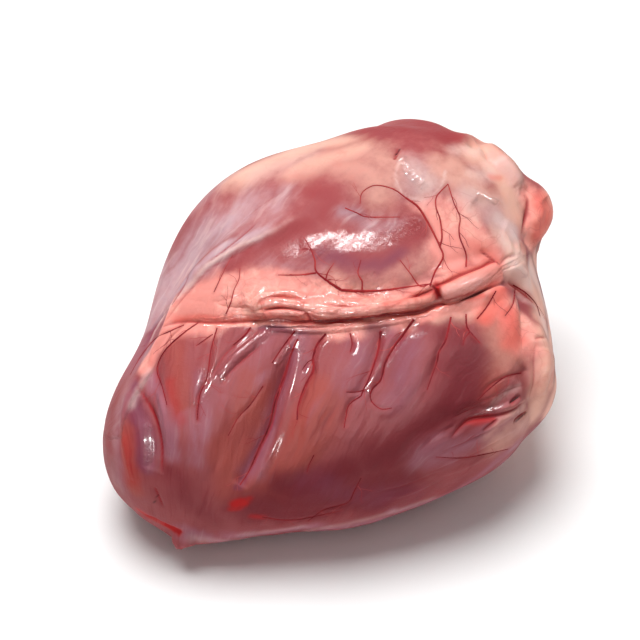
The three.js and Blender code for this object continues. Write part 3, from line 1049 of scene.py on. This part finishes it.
paint(
    "salmon",
    (3.4, 0.75, [(420, 315), (440, 312), (462, 308), (480, 302)]),
    (7, 0.7, [(205, 300), (222, 280), (240, 270)]),
    (9, 1, [(432, 212), (445, 238), (452, 262)]),
    (9, 1, [(460, 222), (474, 242), (486, 256)]),
    (5.5, 1, [(187, 328), (168, 338), (154, 350), (146, 368)]),
    (6.5, 1, [(528, 200), (538, 215), (532, 235)]),
    (5, 0.6, [(497, 158), (508, 170), (515, 184)]),
    (5, 1, [(545, 200), (550, 214), (543, 232)]),
)
paint(
    "salmon",
    (2.7, 1, [(180, 325), (215, 322), (256, 319), (297, 318), (340, 318), (380, 315), (420, 309)]),
    (5.5, 1, [(420, 300), (445, 292), (470, 281), (495, 270)]),
    soft=0.7,
)
paint("salmon", (10, 1, [(188, 318), (220, 300), (250, 294), (285, 297), (330, 306), (390, 304)]), soft=0.8)
print_shares("film", "peach", "salmon")

# %% [markdown]
# On the hidden sides nothing is known of the tissues' edges, so rings of fat round the base and wet patches
# are left to the noise, and the seams and the mouths are painted like the ones that show.

# %% Paint the far side
uneven = lean + wander(points, 15 * MM)[:, 0] * 16 + wander(points, 4 * MM)[:, 1] * 7
for name, start, full, falling, end, level in (
    ("peach", 2, 36, 40, 78, 0.9),
    ("salmon", 40, 52, 56, 72, 0.55),
    ("pale", 10, 22, 22, 34, 0.5),
):
    spread(name, ease(uneven, start, full) * (1 - ease(uneven, falling, end)) * hidden * level)
spread("gloss", ease(wander(points, 15 * MM)[:, 2], 0, 0.2) * hidden * 0.8)
for aside in (-5, 0, 5):
    beside_seam = [(seam_lean, seam_clock + aside) for seam_lean, seam_clock in BACK_SEAM]
    paint("peach", (8, 0.45, beside_seam), angles=True, thin=0.5)
    paint("salmon", (4, 0.7, beside_seam), angles=True, thin=0.6)
towards_base = [(seam_lean - 6, seam_clock) for seam_lean, seam_clock in BASE_SEAM[3:]]
paint("salmon", (6, 0.6, towards_base), angles=True)
for mouth, lips in MOUTHS:
    # Painted shade in each mouth, nearly black.
    paint("slit", (2.0, 0.8, mouth), angles=True, thin=0.3)
    paint("blush", (5, 0.5, mouth), angles=True)
    paint("peach", *[(5, 0.7, lip) for lip in lips], angles=True)
paint(
    "film",
    (14, 0.5, [(100, -60), (90, -85), (80, -95)]),
    (14, 0.5, [(120, 150), (100, 160), (84, 170)]),
    (12, 0.6, [(140, -60), (125, -80), (110, -95)]),
    angles=True,
)
paint(
    "deep",
    (12, 0.7, [(80, -62), (90, -70), (104, -76)]),
    (14, 0.6, [(80, 150), (95, -170), (110, -150)]),
    angles=True,
)
print("hidden:", round(100 * hidden.mean()), "% of the points")

# %% [markdown]
# Muscle shows bare through the fat and the film above the seam and at the top. Those places are rubbed out
# again, which is simpler than leading each stroke round them.

# %% Take the fat away where the muscle shows through
rub("peach", (8, [(368, 131), (405, 126), (430, 129), (450, 138)]))
rub(
    "salmon",
    (7, [(345, 240), (372, 248), (400, 243), (412, 232)]),
    (6, [(300, 235), (320, 245), (345, 255)]),
    (4.5, [(235, 263), (246, 254), (264, 245)]),
)
rub("film", (7, [(322, 195), (310, 222), (285, 238)]))
print_shares("film", "peach", "salmon")

# %% [markdown]
# Over all of it lie membranes: whitish where they are drawn tight, as along the crest and on the rim, and
# grey where they hang slack and wet. Some strokes are painted light instead: the grey along the lower edge
# is a painted reflection of the floor, and the whitish on the sausage and along the tip's left edge is a
# painted highlight.

# %% Paint the pale and the grey membranes, and some painted light
paint(
    "film",
    (3.5, 0.65, [(150, 330), (166, 304), (184, 284), (202, 264), (228, 246), (262, 230), (290, 210)]),
    thin=0.4,
)
paint("salmon", (8, 1, [(514, 312), (520, 326), (521, 342)]))
paint(
    "grey",
    # Painted reflection of the white floor along the lower edge.
    (3, 0.45, [(190, 541), (250, 539), (320, 529), (380, 515), (430, 499)]),
    (7, 0.7, [(472, 203), (488, 212), (502, 224)]),
    (4, 1, [(500, 220), (510, 226), (514, 233)]),
    (9, 0.7, [(410, 163), (416, 174), (428, 186)]),
)
paint(
    "pale",
    (1.4, 0.65, [
        (140, 368), (156, 330), (172, 304), (190, 284), (207, 266), (232, 250), (261, 236), (300, 215),
    ]),
    thin=0.4,
)
paint(
    "pale",
    (9, 0.4, [(255, 178), (280, 166), (305, 156)]),
    (6, 0.5, [(425, 172), (432, 180)]),
    (1.1, 0.5, [(400, 158), (395, 175), (402, 192), (420, 199), (440, 190), (446, 172)]),
    (5, 0.5, [(457, 150), (478, 152), (490, 168), (478, 178)]),
    (6, 0.6, [(502, 158), (512, 172), (518, 184)]),
    (4, 0.6, [(506, 240), (512, 248), (520, 255)]),
    (5, 0.75, [(515, 262), (524, 272), (530, 282)]),
    # Painted highlight on the sausage.
    (4, 0.35, SAUSAGE[:4]),
    (2, 0.4, [(520, 297), (537, 309), (544, 322), (549, 337)]),
    (5, 0.7, [(530, 268), (540, 290), (551, 328)]),
    (2.2, 0.35, [(520, 386), (507, 394), (492, 402)]),
    (2.2, 0.35, [(528, 398), (521, 407), (507, 417)]),
    # Painted highlight along the tip's left edge.
    (5, 0.25, [(124, 392), (115, 425), (113, 455), (120, 488)]),
    (2.5, 0.5, [(150, 372), (140, 390), (132, 405)]),
)
print_shares("grey", "pale")

# %% [markdown]
# Blood has gathered in the creases of the seam and in a few spots at the tip and at the base, and thin skin
# blushes beside it. The slits are cuts so deep and narrow that they look nearly black, so they get a nearly
# black painted shade, and so do the gap under the sausage and the floor of the long valley.

# %% Paint the reddest spots, and the painted shade of the slits
paint(
    "blush",
    (6, 1, [(543, 204), (547, 216), (540, 234)]),
    (6, 0.6, [(535, 200), (538, 215), (532, 232)]),
    (5, 1, [(501, 291), (495, 302), (487, 313)]),
    (7, 1, [(509, 314), (512, 326), (513, 340)]),
    (4, 0.6, [(472, 244), (485, 252), (495, 259)]),
    (2.5, 0.6, [(491, 177), (499, 178)]),
    (3, 0.3, [(545, 350), (545, 362)]),
    (2.2, 0.85, [(x, y - 2) for x, y in SEAM[1:11]]),
    (2, 0.85, [(388, 303), (413, 298), (428, 293), (436, 289)]),
    (2, 0.8, [(432, 290), (447, 283), (463, 275), (480, 268), (492, 263)]),
    (1.6, 0.8, [(422, 311), (442, 306), (463, 301), (482, 295)]),
    (1.6, 0.6, [(258, 305), (280, 298), (304, 303)]),
    (1.4, 0.7, [(263, 311), (282, 309), (306, 315)]),
    (2.4, 0.6, [(141, 512), (158, 521), (178, 532)]),
)
paint(
    "blood",
    (2.7, 1.2, [(238, 504), (243, 503)]),
    (1.8, 0.8, [(232, 509), (240, 508), (249, 499)]),
    (2.0, 0.7, [(253, 517), (263, 518)]),
    (1.5, 1.3, [(141, 512), (158, 521), (178, 532)]),
    (6, 0.55, [(127, 448), (134, 480)]),
    (1.8, 0.8, [(467, 421), (480, 420), (491, 419)]),
    (2.2, 1, [(436, 287), (438, 294)]),
    (3.0, 0.5, [(170, 384), (174, 400), (178, 420)]),
    (3.5, 0.4, [(152, 362), (160, 376)]),
)
paint(
    "blood",
    (1.3, 0.8, [(250, 323), (293, 322), (340, 320), (385, 315), (408, 311), (435, 303)]),
    (1.0, 0.7, [(436, 303), (452, 299), (468, 294), (484, 289)]),
    thin=0.4,
)
# Painted shade, nearly black: the slits, the gap under the sausage and the floor of the long valley.
for level, dark in (
    (1.1, [(401, 147), (397, 153), (394, 160)]),
    (1.1, [(521, 394), (515, 399), (508, 404)]),
    (1, [(159, 494), (156, 499), (153, 505)]),
    (0.9, [(528, 411), (521, 417), (514, 423)]),
    (0.6, [(498, 418), (490, 425), (482, 431)]),
    (0.45, [(420, 310), (442, 304), (463, 299), (482, 293), (497, 286)]),
    (0.5, [(286, 372), (276, 402), (270, 426), (260, 448), (248, 474)]),
):
    paint("slit", (0.42, level, dark), thin=0.5)
print_shares("blush", "blood", "slit")

# %% [markdown]
# The meat shines where water stands on it: above the seam and along it, on the leaf beside the long valley
# and along the vessels.

# %% Paint where the meat is wet enough to shine
paint(
    "gloss",
    (4.2, 1, [(290, 249), (320, 245), (350, 243), (385, 237), (412, 229)]),
    (3.5, 1, SEAM[2:13]),
    (5, 1, [(245, 300), (300, 303), (345, 301), (385, 298)]),
    (2.6, 1, [(268, 331), (256, 340), (243, 351), (230, 363), (220, 377)]),
    (3.4, 1, [(203, 372), (204, 384), (201, 396)]),
    (2.0, 0.8, [(148, 430), (151, 446), (150, 458)]),
    (1.8, 1, [(401, 158), (407, 171), (424, 184)]),
    (1.6, 1, [(478, 192), (487, 197), (498, 203)]),
    (2.0, 0.7, SAUSAGE[:4]),
    (1.5, 0.7, [(432, 276), (440, 262), (444, 250)]),
    (1.5, 0.7, [(506, 398), (490, 411), (470, 415)]),
    (3, 0.6, [(262, 470), (280, 440)]),
    (1.4, 0.6, [(404, 330), (412, 336), (424, 332)]),
    (2.2, 0.6, [(300, 352), (294, 376), (288, 398)]),
)
paint("gloss", (6, 0.8, BACK_SEAM), angles=True)
for _, _, places in LOWER_VEINS[:1] + LOWER_VEINS[3:4] + LOWER_VEINS[5:10] + LOWER_VEINS[17:19]:
    paint("gloss", (1.2, 0.9, [(x + 4, y) for x, y in places[:4]]))
print_shares("gloss")

# %% [markdown]
# The side branches of the vessels are left to chance: each one starts at its vessel, turns away from it and
# walks over the skin in short steps, bending a little at every step.

# %% Lay the large vessels on the finished skin
courses = [(first, last, route(skin, places)) for first, last, places in UPPER_VEINS + LOWER_VEINS]
courses += [(first, last, route(skin, places, angles=True)) for first, last, places in HIDDEN_VEINS]
print(len(courses), "large vessels")

# %% Grow the side branches
BRANCH_SEED = 11
THINNEST = 0.1  # of a vessel, in millimetres
BEND = 0.16  # how far a branch turns at a step, in radians
chance = np.random.default_rng(BRANCH_SEED)


def walk(place, up, ahead, length):
    """A wavering line over the skin from a place, heading ahead."""
    trail, ups = [place], [up]
    for _ in range(max(2, round(length * MM / ROUTE_STEP))):
        ahead = Quaternion(up, chance.normal(0, BEND)) @ ahead
        found, up, _, _ = skin["tree"].find_nearest(place + ahead * ROUTE_STEP)
        ahead = (found - place) - up * (found - place).dot(up)
        ahead.normalize()
        place = found
        trail.append(place)
        ups.append(up)
    trail = np.array(trail)
    forward = np.gradient(trail, axis=0)
    forward /= np.maximum(np.linalg.norm(forward, axis=1, keepdims=True), 1e-9)
    return {"points": trail, "normals": np.array(ups), "ahead": forward}


def branches(course, spacing, longest, share):
    """Side branches of a vessel, about every spacing millimetres, each thinner than the vessel there."""
    first, last, line = course
    count = len(line["points"])
    length = count * ROUTE_STEP / MM
    grown = []
    for k in range(int(length / spacing)):
        at = min(count - 1, int((k + chance.uniform(0.2, 0.8)) * spacing * MM / ROUTE_STEP))
        thickness = (first + (last - first) * at / count) * share
        if thickness < THINNEST:
            continue
        up = Vector(line["normals"][at])
        side = chance.choice((-1, 1)) * math.radians(chance.uniform(15, 50))
        ahead = Quaternion(up, side) @ Vector(line["ahead"][at])
        branch = walk(Vector(line["points"][at]), up, ahead, chance.uniform(0.35, 1) * longest)
        grown.append((thickness, THINNEST, branch))
    return grown


twigs = [twig for course in courses for twig in branches(course, spacing=5, longest=7, share=0.6)]
twigs += [twig for course in list(twigs) for twig in branches(course, spacing=3.5, longest=3.5, share=0.8)]
for first, _, line in courses:
    tint("stain", 0.4 + first, 0.5, line)
for _, _, line in twigs:
    tint("stain", 0.7, 0.25, line)
print(len(twigs), "side branches")

# %% [markdown]
# Under the seam the film lies on the tops of the folds of the muscle, partly as a painted sheen, and the
# hollows between them get the deep red as a painted shade. The masks are kept on the mesh as attributes,
# where the material reads them. The creases leave a mask too, the painted shade beside them, and the
# grain's coordinates are kept as a vector.

# %% Store the attributes
def store(name, values):
    """Keeps a number, or three, for every point of the skin."""
    kind, key = ("FLOAT", "value") if values.ndim == 1 else ("FLOAT_VECTOR", "vector")
    attribute = meat.data.attributes.new(name, kind, "POINT")
    attribute.data.foreach_set(key, values.astype(np.float32).ravel())


# The painted shade of the creases becomes a mask.
masks["crease_shade"] = crease_shading
rough_side = (1 - masks["right"]) * ease(clock, 36, 44)
pale_side = rough_side * (1 - ease(clock, 66, 90)) * (1 - masks["deep"])
# Film, and a painted sheen, on the tops of the folds.
spread("film", np.clip(folds, 0, 0.5) * 1.3 * pale_side)
# Painted shade in the hollows between the folds.
spread("deep", np.clip(-folds - 0.1, 0, 0.4) * 1.3 * rough_side)
for name, values in masks.items():
    store(name, values)
store("grain", grain_of(points))
print("attributes:", [a.name for a in meat.data.attributes if a.name in masks or a.name == "grain"])

# %% [markdown]
# ## Writing a material
# A material is a net of nodes. To keep it readable, two small classes turn it into sums: Amount wraps a
# socket and lets it be added, multiplied and so on, and Finish adds any other node by its type.

# %% Classes for materials
class Amount:
    """A value that changes over a surface. Arithmetic on it adds Math nodes."""

    def __init__(self, finish, socket):
        self.finish = finish
        self.socket = socket

    def maths(self, operation, first, second):
        return self.finish.node("ShaderNodeMath", {"operation": operation}, {0: first, 1: second})

    def __add__(self, other):
        return self.maths("ADD", self, other)

    def __sub__(self, other):
        return self.maths("SUBTRACT", self, other)

    def __rsub__(self, other):
        return self.maths("SUBTRACT", other, self)

    def __mul__(self, other):
        return self.maths("MULTIPLY", self, other)

    __radd__ = __add__
    __rmul__ = __mul__


class Finish:
    """A material that is built up node by node."""

    def __init__(self, name):
        self.material = bpy.data.materials.new(name)
        self.material.use_nodes = True
        self.tree = self.material.node_tree
        self.shader = self.tree.nodes["Principled BSDF"]

    def node(self, kind, settings=None, values=None, output=0):
        """Adds a node with its settings and its sockets' values or links, and gives one of its outputs."""
        node = self.tree.nodes.new(kind)
        for name, value in (settings or {}).items():
            setattr(node, name, value)
        for key, value in (values or {}).items():
            self.feed(node.inputs[key], value)
        return Amount(self, node.outputs[output])

    def feed(self, socket, value):
        if isinstance(value, Amount):
            self.tree.links.new(value.socket, socket)
        else:
            socket.default_value = value

    def set(self, **values):
        """Sets sockets of the shader, with an underscore for each space in a name."""
        for name, value in values.items():
            self.feed(self.shader.inputs[name.replace("_", " ")], value)

    def mask(self, name):
        return self.node("ShaderNodeAttribute", {"attribute_name": name}, output="Fac")

    def noise(self, places, scale, detail=2.0, roughness=0.5, distortion=0.0):
        values = {"Vector": places, "Scale": scale, "Detail": detail, "Roughness": roughness}
        values["Distortion"] = distortion
        return self.node("ShaderNodeTexNoise", None, values)

    def rise(self, amount, low, high):
        """0 where the amount is below low, 1 above high, and a smooth rise between."""
        values = {"Value": amount, "From Min": low, "From Max": high}
        return self.node("ShaderNodeMapRange", {"interpolation_type": "SMOOTHSTEP"}, values)

    def cells(self, places, scale, smoothness):
        """Round cells, from 0 in their middles."""
        values = {"Vector": places, "Scale": scale, "Smoothness": smoothness}
        return self.node("ShaderNodeTexVoronoi", {"feature": "SMOOTH_F1"}, values)

    def mix(self, first, second, amount):
        """Goes from the first colour to the second. Sockets 6 and 7 and output 2 are those of colours."""
        return self.node("ShaderNodeMix", {"data_type": "RGBA"}, {0: amount, 6: first, 7: second}, 2)

    def shifted(self, places, scale, reach):
        """Pushes the places on a pattern about by a noise."""
        push = self.node("ShaderNodeTexNoise", None, {"Vector": places, "Scale": scale}, "Color")
        values = {0: push, 1: (reach,) * 3, 2: places}
        return self.node("ShaderNodeVectorMath", {"operation": "MULTIPLY_ADD"}, values)

    def stretched(self, places, stretch):
        """Scales the places on a pattern, each axis by its own factor."""
        return self.node("ShaderNodeVectorMath", {"operation": "MULTIPLY"}, {0: places, 1: stretch})


def colour(red, green, blue):
    """A colour as a picture program names it, made linear for Blender."""
    parts = [c / 255 for c in (red, green, blue)]
    return (*(c / 12.92 if c <= 0.04045 else ((c + 0.055) / 1.055) ** 2.4 for c in parts), 1)

# %% [markdown]
# ## Wet meat
# The meat is one skin with several tissues, so it gets one material that lays their colours over each other
# by the masks, and the painted shade and light with them. Each mask is first made uneven by a noise: the
# film breaks up along the grain, the fat into small lobes. The meat itself reflects little. What shines is
# the water on it: a clear coat, only where the gloss mask is, which fine wrinkles break up into glitter. The
# wrinkles go into the Bump node alone, since they are smaller than a face. The creases stay dull, because no
# light reaches into them.

# %% Make the meat's material
wet = Finish("meat")
here = wet.node("ShaderNodeTexCoord", output="Object")
grain = wet.shifted(wet.node("ShaderNodeAttribute", {"attribute_name": "grain"}, output="Vector"), 90, 0.004)
patches = wet.noise(here, 70, 3)
mottle = wet.noise(here, 420, 3, 0.6)
streaks = wet.noise(wet.stretched(grain, (1, 0.14, 0.14)), 420, 3, 0.55, 0.3)
threads = wet.noise(wet.stretched(grain, (1, 0.08, 0.08)), 1300, 2, 0.5, 0.2)

LEFT_MUSCLE = colour(154, 70, 73)
LEFT_BROWN = colour(168, 74, 66)
RIGHT_MUSCLE = colour(156, 62, 66)
RIGHT_PALE = colour(182, 98, 96)
# Deep red of the left ventricle, also used as painted shade.
DEEP_LEFT_AND_SHADE = colour(118, 22, 34)
DEEP_RIGHT = colour(158, 56, 60)
# Lilac film, also used as painted sheen and as a painted reflection of the floor.
FILM_AND_SHEEN_LEFT = colour(168, 106, 122)
FILM_RIGHT = colour(222, 198, 206)
PEACH = colour(240, 184, 165)
PEACH_RED = colour(222, 142, 128)
SALMON = colour(241, 151, 140)
SALMON_PALE = colour(252, 184, 168)
GREY = colour(214, 178, 174)
PALE = colour(242, 209, 202)
BLOOD = colour(184, 10, 12)
BLUSH = colour(234, 98, 84)
STAIN = colour(160, 40, 46)
# Dark blood red, used as painted shade in the creases.
CREASE_BLOOD_AND_SHADE = colour(158, 10, 24)
THREAD = colour(120, 16, 30)
# Nearly black, a painted shade for deep narrow cuts.
SLIT_SHADE = colour(44, 10, 14)
# Violet: painted shade in hollows, and the own purple of the tip wedge.
VIOLET = colour(128, 52, 74)


def frayed(name, fray, amount=0.5, low=0.25, high=0.75):
    """A mask with edges that a noise frays. The noise does nothing where there is no mask."""
    return wet.rise(wet.mask(name) + (fray - 0.5) * amount, low, high)


def faint(name, fray, amount=0.5):
    """A mask that fades out softly, and unevenly by a noise."""
    return wet.mask(name) * wet.rise(wet.mask(name) + (fray - 0.5) * amount, -0.1, 0.8)


on_right = frayed("right", mottle)
left_flesh = wet.mix(LEFT_MUSCLE, LEFT_BROWN, faint("brown", patches, 1))
right_flesh = wet.mix(RIGHT_MUSCLE, RIGHT_PALE, wet.rise(patches + (mottle - 0.5) * 0.5, 0.25, 0.8))
flesh = wet.mix(left_flesh, right_flesh, on_right)
# Deep red muscle, and painted shade low on the left ventricle and in the hollows of its folds.
deep = wet.mix(DEEP_LEFT_AND_SHADE, DEEP_RIGHT, on_right)
flesh = wet.mix(flesh, deep, faint("deep", streaks * 0.7 + patches * 0.3, 1))
# Painted shade in the hollows, and the tip wedge's own purple.
flesh = wet.mix(flesh, VIOLET, faint("violet", streaks, 1))
thready = wet.rise(threads + streaks * 0.5 + patches * 0.5, 1.02, 1.3)
flesh = wet.mix(flesh, THREAD, thready * (1 - on_right) * 0.35)
# Lilac film, and painted sheen on the fold tops and a painted reflection of the floor along the lower edge.
film = wet.mix(FILM_AND_SHEEN_LEFT, FILM_RIGHT, on_right)
flesh = wet.mix(flesh, film, faint("film", streaks * 0.8 + mottle * 0.2, 1.4))
fibres = wet.rise(threads + (streaks - 0.5), 0.55, 0.8) * wet.mask("film")
flesh = wet.mix(flesh, PALE, fibres * (0.12 + on_right * 0.4))
peach = wet.mix(PEACH, PEACH_RED, wet.rise(patches * 0.7 + mottle * 0.3, 0.48, 0.75) * 0.8)
flesh = wet.mix(flesh, peach, faint("peach", patches * 0.5 + mottle * 0.5, 1))

ragged = wet.shifted(here, 180, 0.006)
nets = wet.node("ShaderNodeTexVoronoi", {"feature": "DISTANCE_TO_EDGE"}, {"Vector": ragged, "Scale": 190})
uneven_fat = patches + (mottle - 0.5) * 0.8 - wet.cells(here, 330, 0.5) * 0.2
fat_tone = wet.mix(SALMON, SALMON_PALE, wet.rise(uneven_fat, 0.3, 0.75))
flesh = wet.mix(flesh, fat_tone, frayed("salmon", patches * 0.5 + mottle * 0.5, 0.4, 0.15, 0.85))
# Grey membranes, and a painted reflection of the floor along the lower edge.
flesh = wet.mix(flesh, GREY, faint("grey", mottle))
# Whitish membranes, and painted highlights on the sausage and the tip's edge.
flesh = wet.mix(flesh, PALE, faint("pale", streaks * 0.5 + mottle * 0.5, 1))
flesh = wet.mix(flesh, BLUSH, faint("blush", mottle) * 0.8)
fat = wet.rise(wet.mask("salmon") + wet.mask("peach") * 0.6, 0.2, 0.9)
netted = (1 - wet.rise(nets, 0.0, 0.035)) * wet.rise(patches, 0.4, 0.6) * fat
flesh = wet.mix(flesh, STAIN, netted * 0.2)
flesh = wet.mix(flesh, STAIN, wet.mask("stain") * 0.55)
flesh = wet.mix(flesh, BLOOD, faint("blood", mottle))
# Painted shade in the creases, in a dark blood red.
flesh = wet.mix(flesh, CREASE_BLOOD_AND_SHADE, wet.rise(wet.mask("crease_shade"), 0.05, 0.8) * 0.8)
# Painted shade in the slits, nearly black.
flesh = wet.mix(flesh, SLIT_SHADE, faint("slit", mottle))

gloss = frayed("gloss", mottle, 0.8, 0.1, 0.8) * (1 - wet.rise(wet.mask("crease_shade"), 0.1, 0.6) * 0.9)
lobes = wet.cells(here, 520, 0.6)
wrinkles = wet.noise(here, 1500, 2, 0.5, 0.6)
glitter = wet.rise(wrinkles * 0.6 + threads * 0.4, 0.43, 0.56)
relief = wrinkles * (0.3 + gloss * 0.5) + threads * (0.35 + gloss * 0.4)
relief += lobes * fat * 0.15 + streaks * 0.9
bump = wet.node("ShaderNodeBump", None, {"Strength": 0.8, "Distance": 0.0003, "Height": relief})
wet.set(
    Base_Color=flesh,
    Roughness=0.55 - gloss * 0.3 + (patches - 0.5) * 0.2 + (mottle - 0.5) * 0.2,
    Coat_Weight=gloss * (0.25 + glitter * 0.75),
    Coat_Roughness=0.15,
    Specular_IOR_Level=0.14,
    Subsurface_Weight=0.15,
    Subsurface_Radius=(1.0, 0.4, 0.25),
    Subsurface_Scale=0.0025,
    Normal=bump,
)
meat.data.materials.clear()
meat.data.materials.append(wet.material)
print("meat's material:", len(wet.tree.nodes), "nodes")

# %% Paint the floor
sweep = Finish("white_sweep")
grainy = sweep.noise(sweep.node("ShaderNodeTexCoord", output="Object"), 3)
sweep.set(Base_Color=sweep.mix(colour(245, 245, 245), colour(250, 250, 250), grainy), Roughness=0.8)
floor.data.materials.append(sweep.material)
print("floor's material:", len(sweep.tree.nodes), "nodes")

# %% [markdown]
# ## Vessels
# The vessels lie in the fat and under the film as fine branching tubes, up to 0.8 mm thick. Each is a curve
# with a round section that follows a route on the finished skin, grows thinner or thicker along it and is
# sunk into the skin. All of one colour are converted to one mesh with closed ends.

# %% Helper for vessels
def tubes(name, courses, sink=0.5):
    """One mesh of round tubes. A course is its thickness in mm at the start and at the end, and its line.
    The tube's middle lies below the skin by a share of its radius."""
    curve = bpy.data.curves.new(name, "CURVE")
    curve.dimensions = "3D"
    curve.bevel_depth = 1 * MM
    curve.bevel_resolution = 1
    curve.use_fill_caps = True
    for first, last, line in courses:
        size = np.linspace(first, last, len(line["points"])) / 2
        sunk = line["points"] - line["normals"] * (size * sink * MM)[:, None]
        spline = curve.splines.new("POLY")
        spline.points.add(len(sunk) - 1)
        spline.points.foreach_set("co", np.column_stack([sunk, np.ones(len(sunk))]).ravel())
        spline.points.foreach_set("radius", size)
    obj = bpy.data.objects.new(name, curve)
    bpy.context.scene.collection.objects.link(obj)
    take(obj)
    bpy.ops.object.convert(target="MESH")
    bpy.ops.object.shade_smooth()
    print(name, len(obj.data.polygons), "faces")
    return obj

# %% Make the vessels
def fill(vessels, dark, bright):
    """Gives vessels their skin, unevenly filled with blood."""
    finish = Finish(vessels.name)
    here = finish.node("ShaderNodeTexCoord", output="Object")
    filled = finish.rise(finish.noise(here, 260, 2), 0.35, 0.65)
    finish.set(
        Base_Color=finish.mix(dark, bright, filled),
        Roughness=0.5 + finish.noise(here, 700) * 0.2,
        Specular_IOR_Level=0.05,
    )
    vessels.data.materials.append(finish.material)


upper_veins = tubes("upper_veins", courses[: len(UPPER_VEINS)])
fill(upper_veins, colour(140, 28, 36), colour(176, 54, 54))
veins = tubes("veins", courses[len(UPPER_VEINS) :])
fill(veins, colour(112, 18, 28), colour(150, 36, 42))
fine_vessels = tubes("fine_vessels", twigs, 0.7)
fill(fine_vessels, colour(150, 44, 50), colour(190, 80, 78))

# %% Join the pieces to the frame
pieces = (meat, upper_veins, veins, fine_vessels)
for piece in pieces:
    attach(piece, "root")
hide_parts("heart")
print("pieces:", [piece.name for piece in pieces])
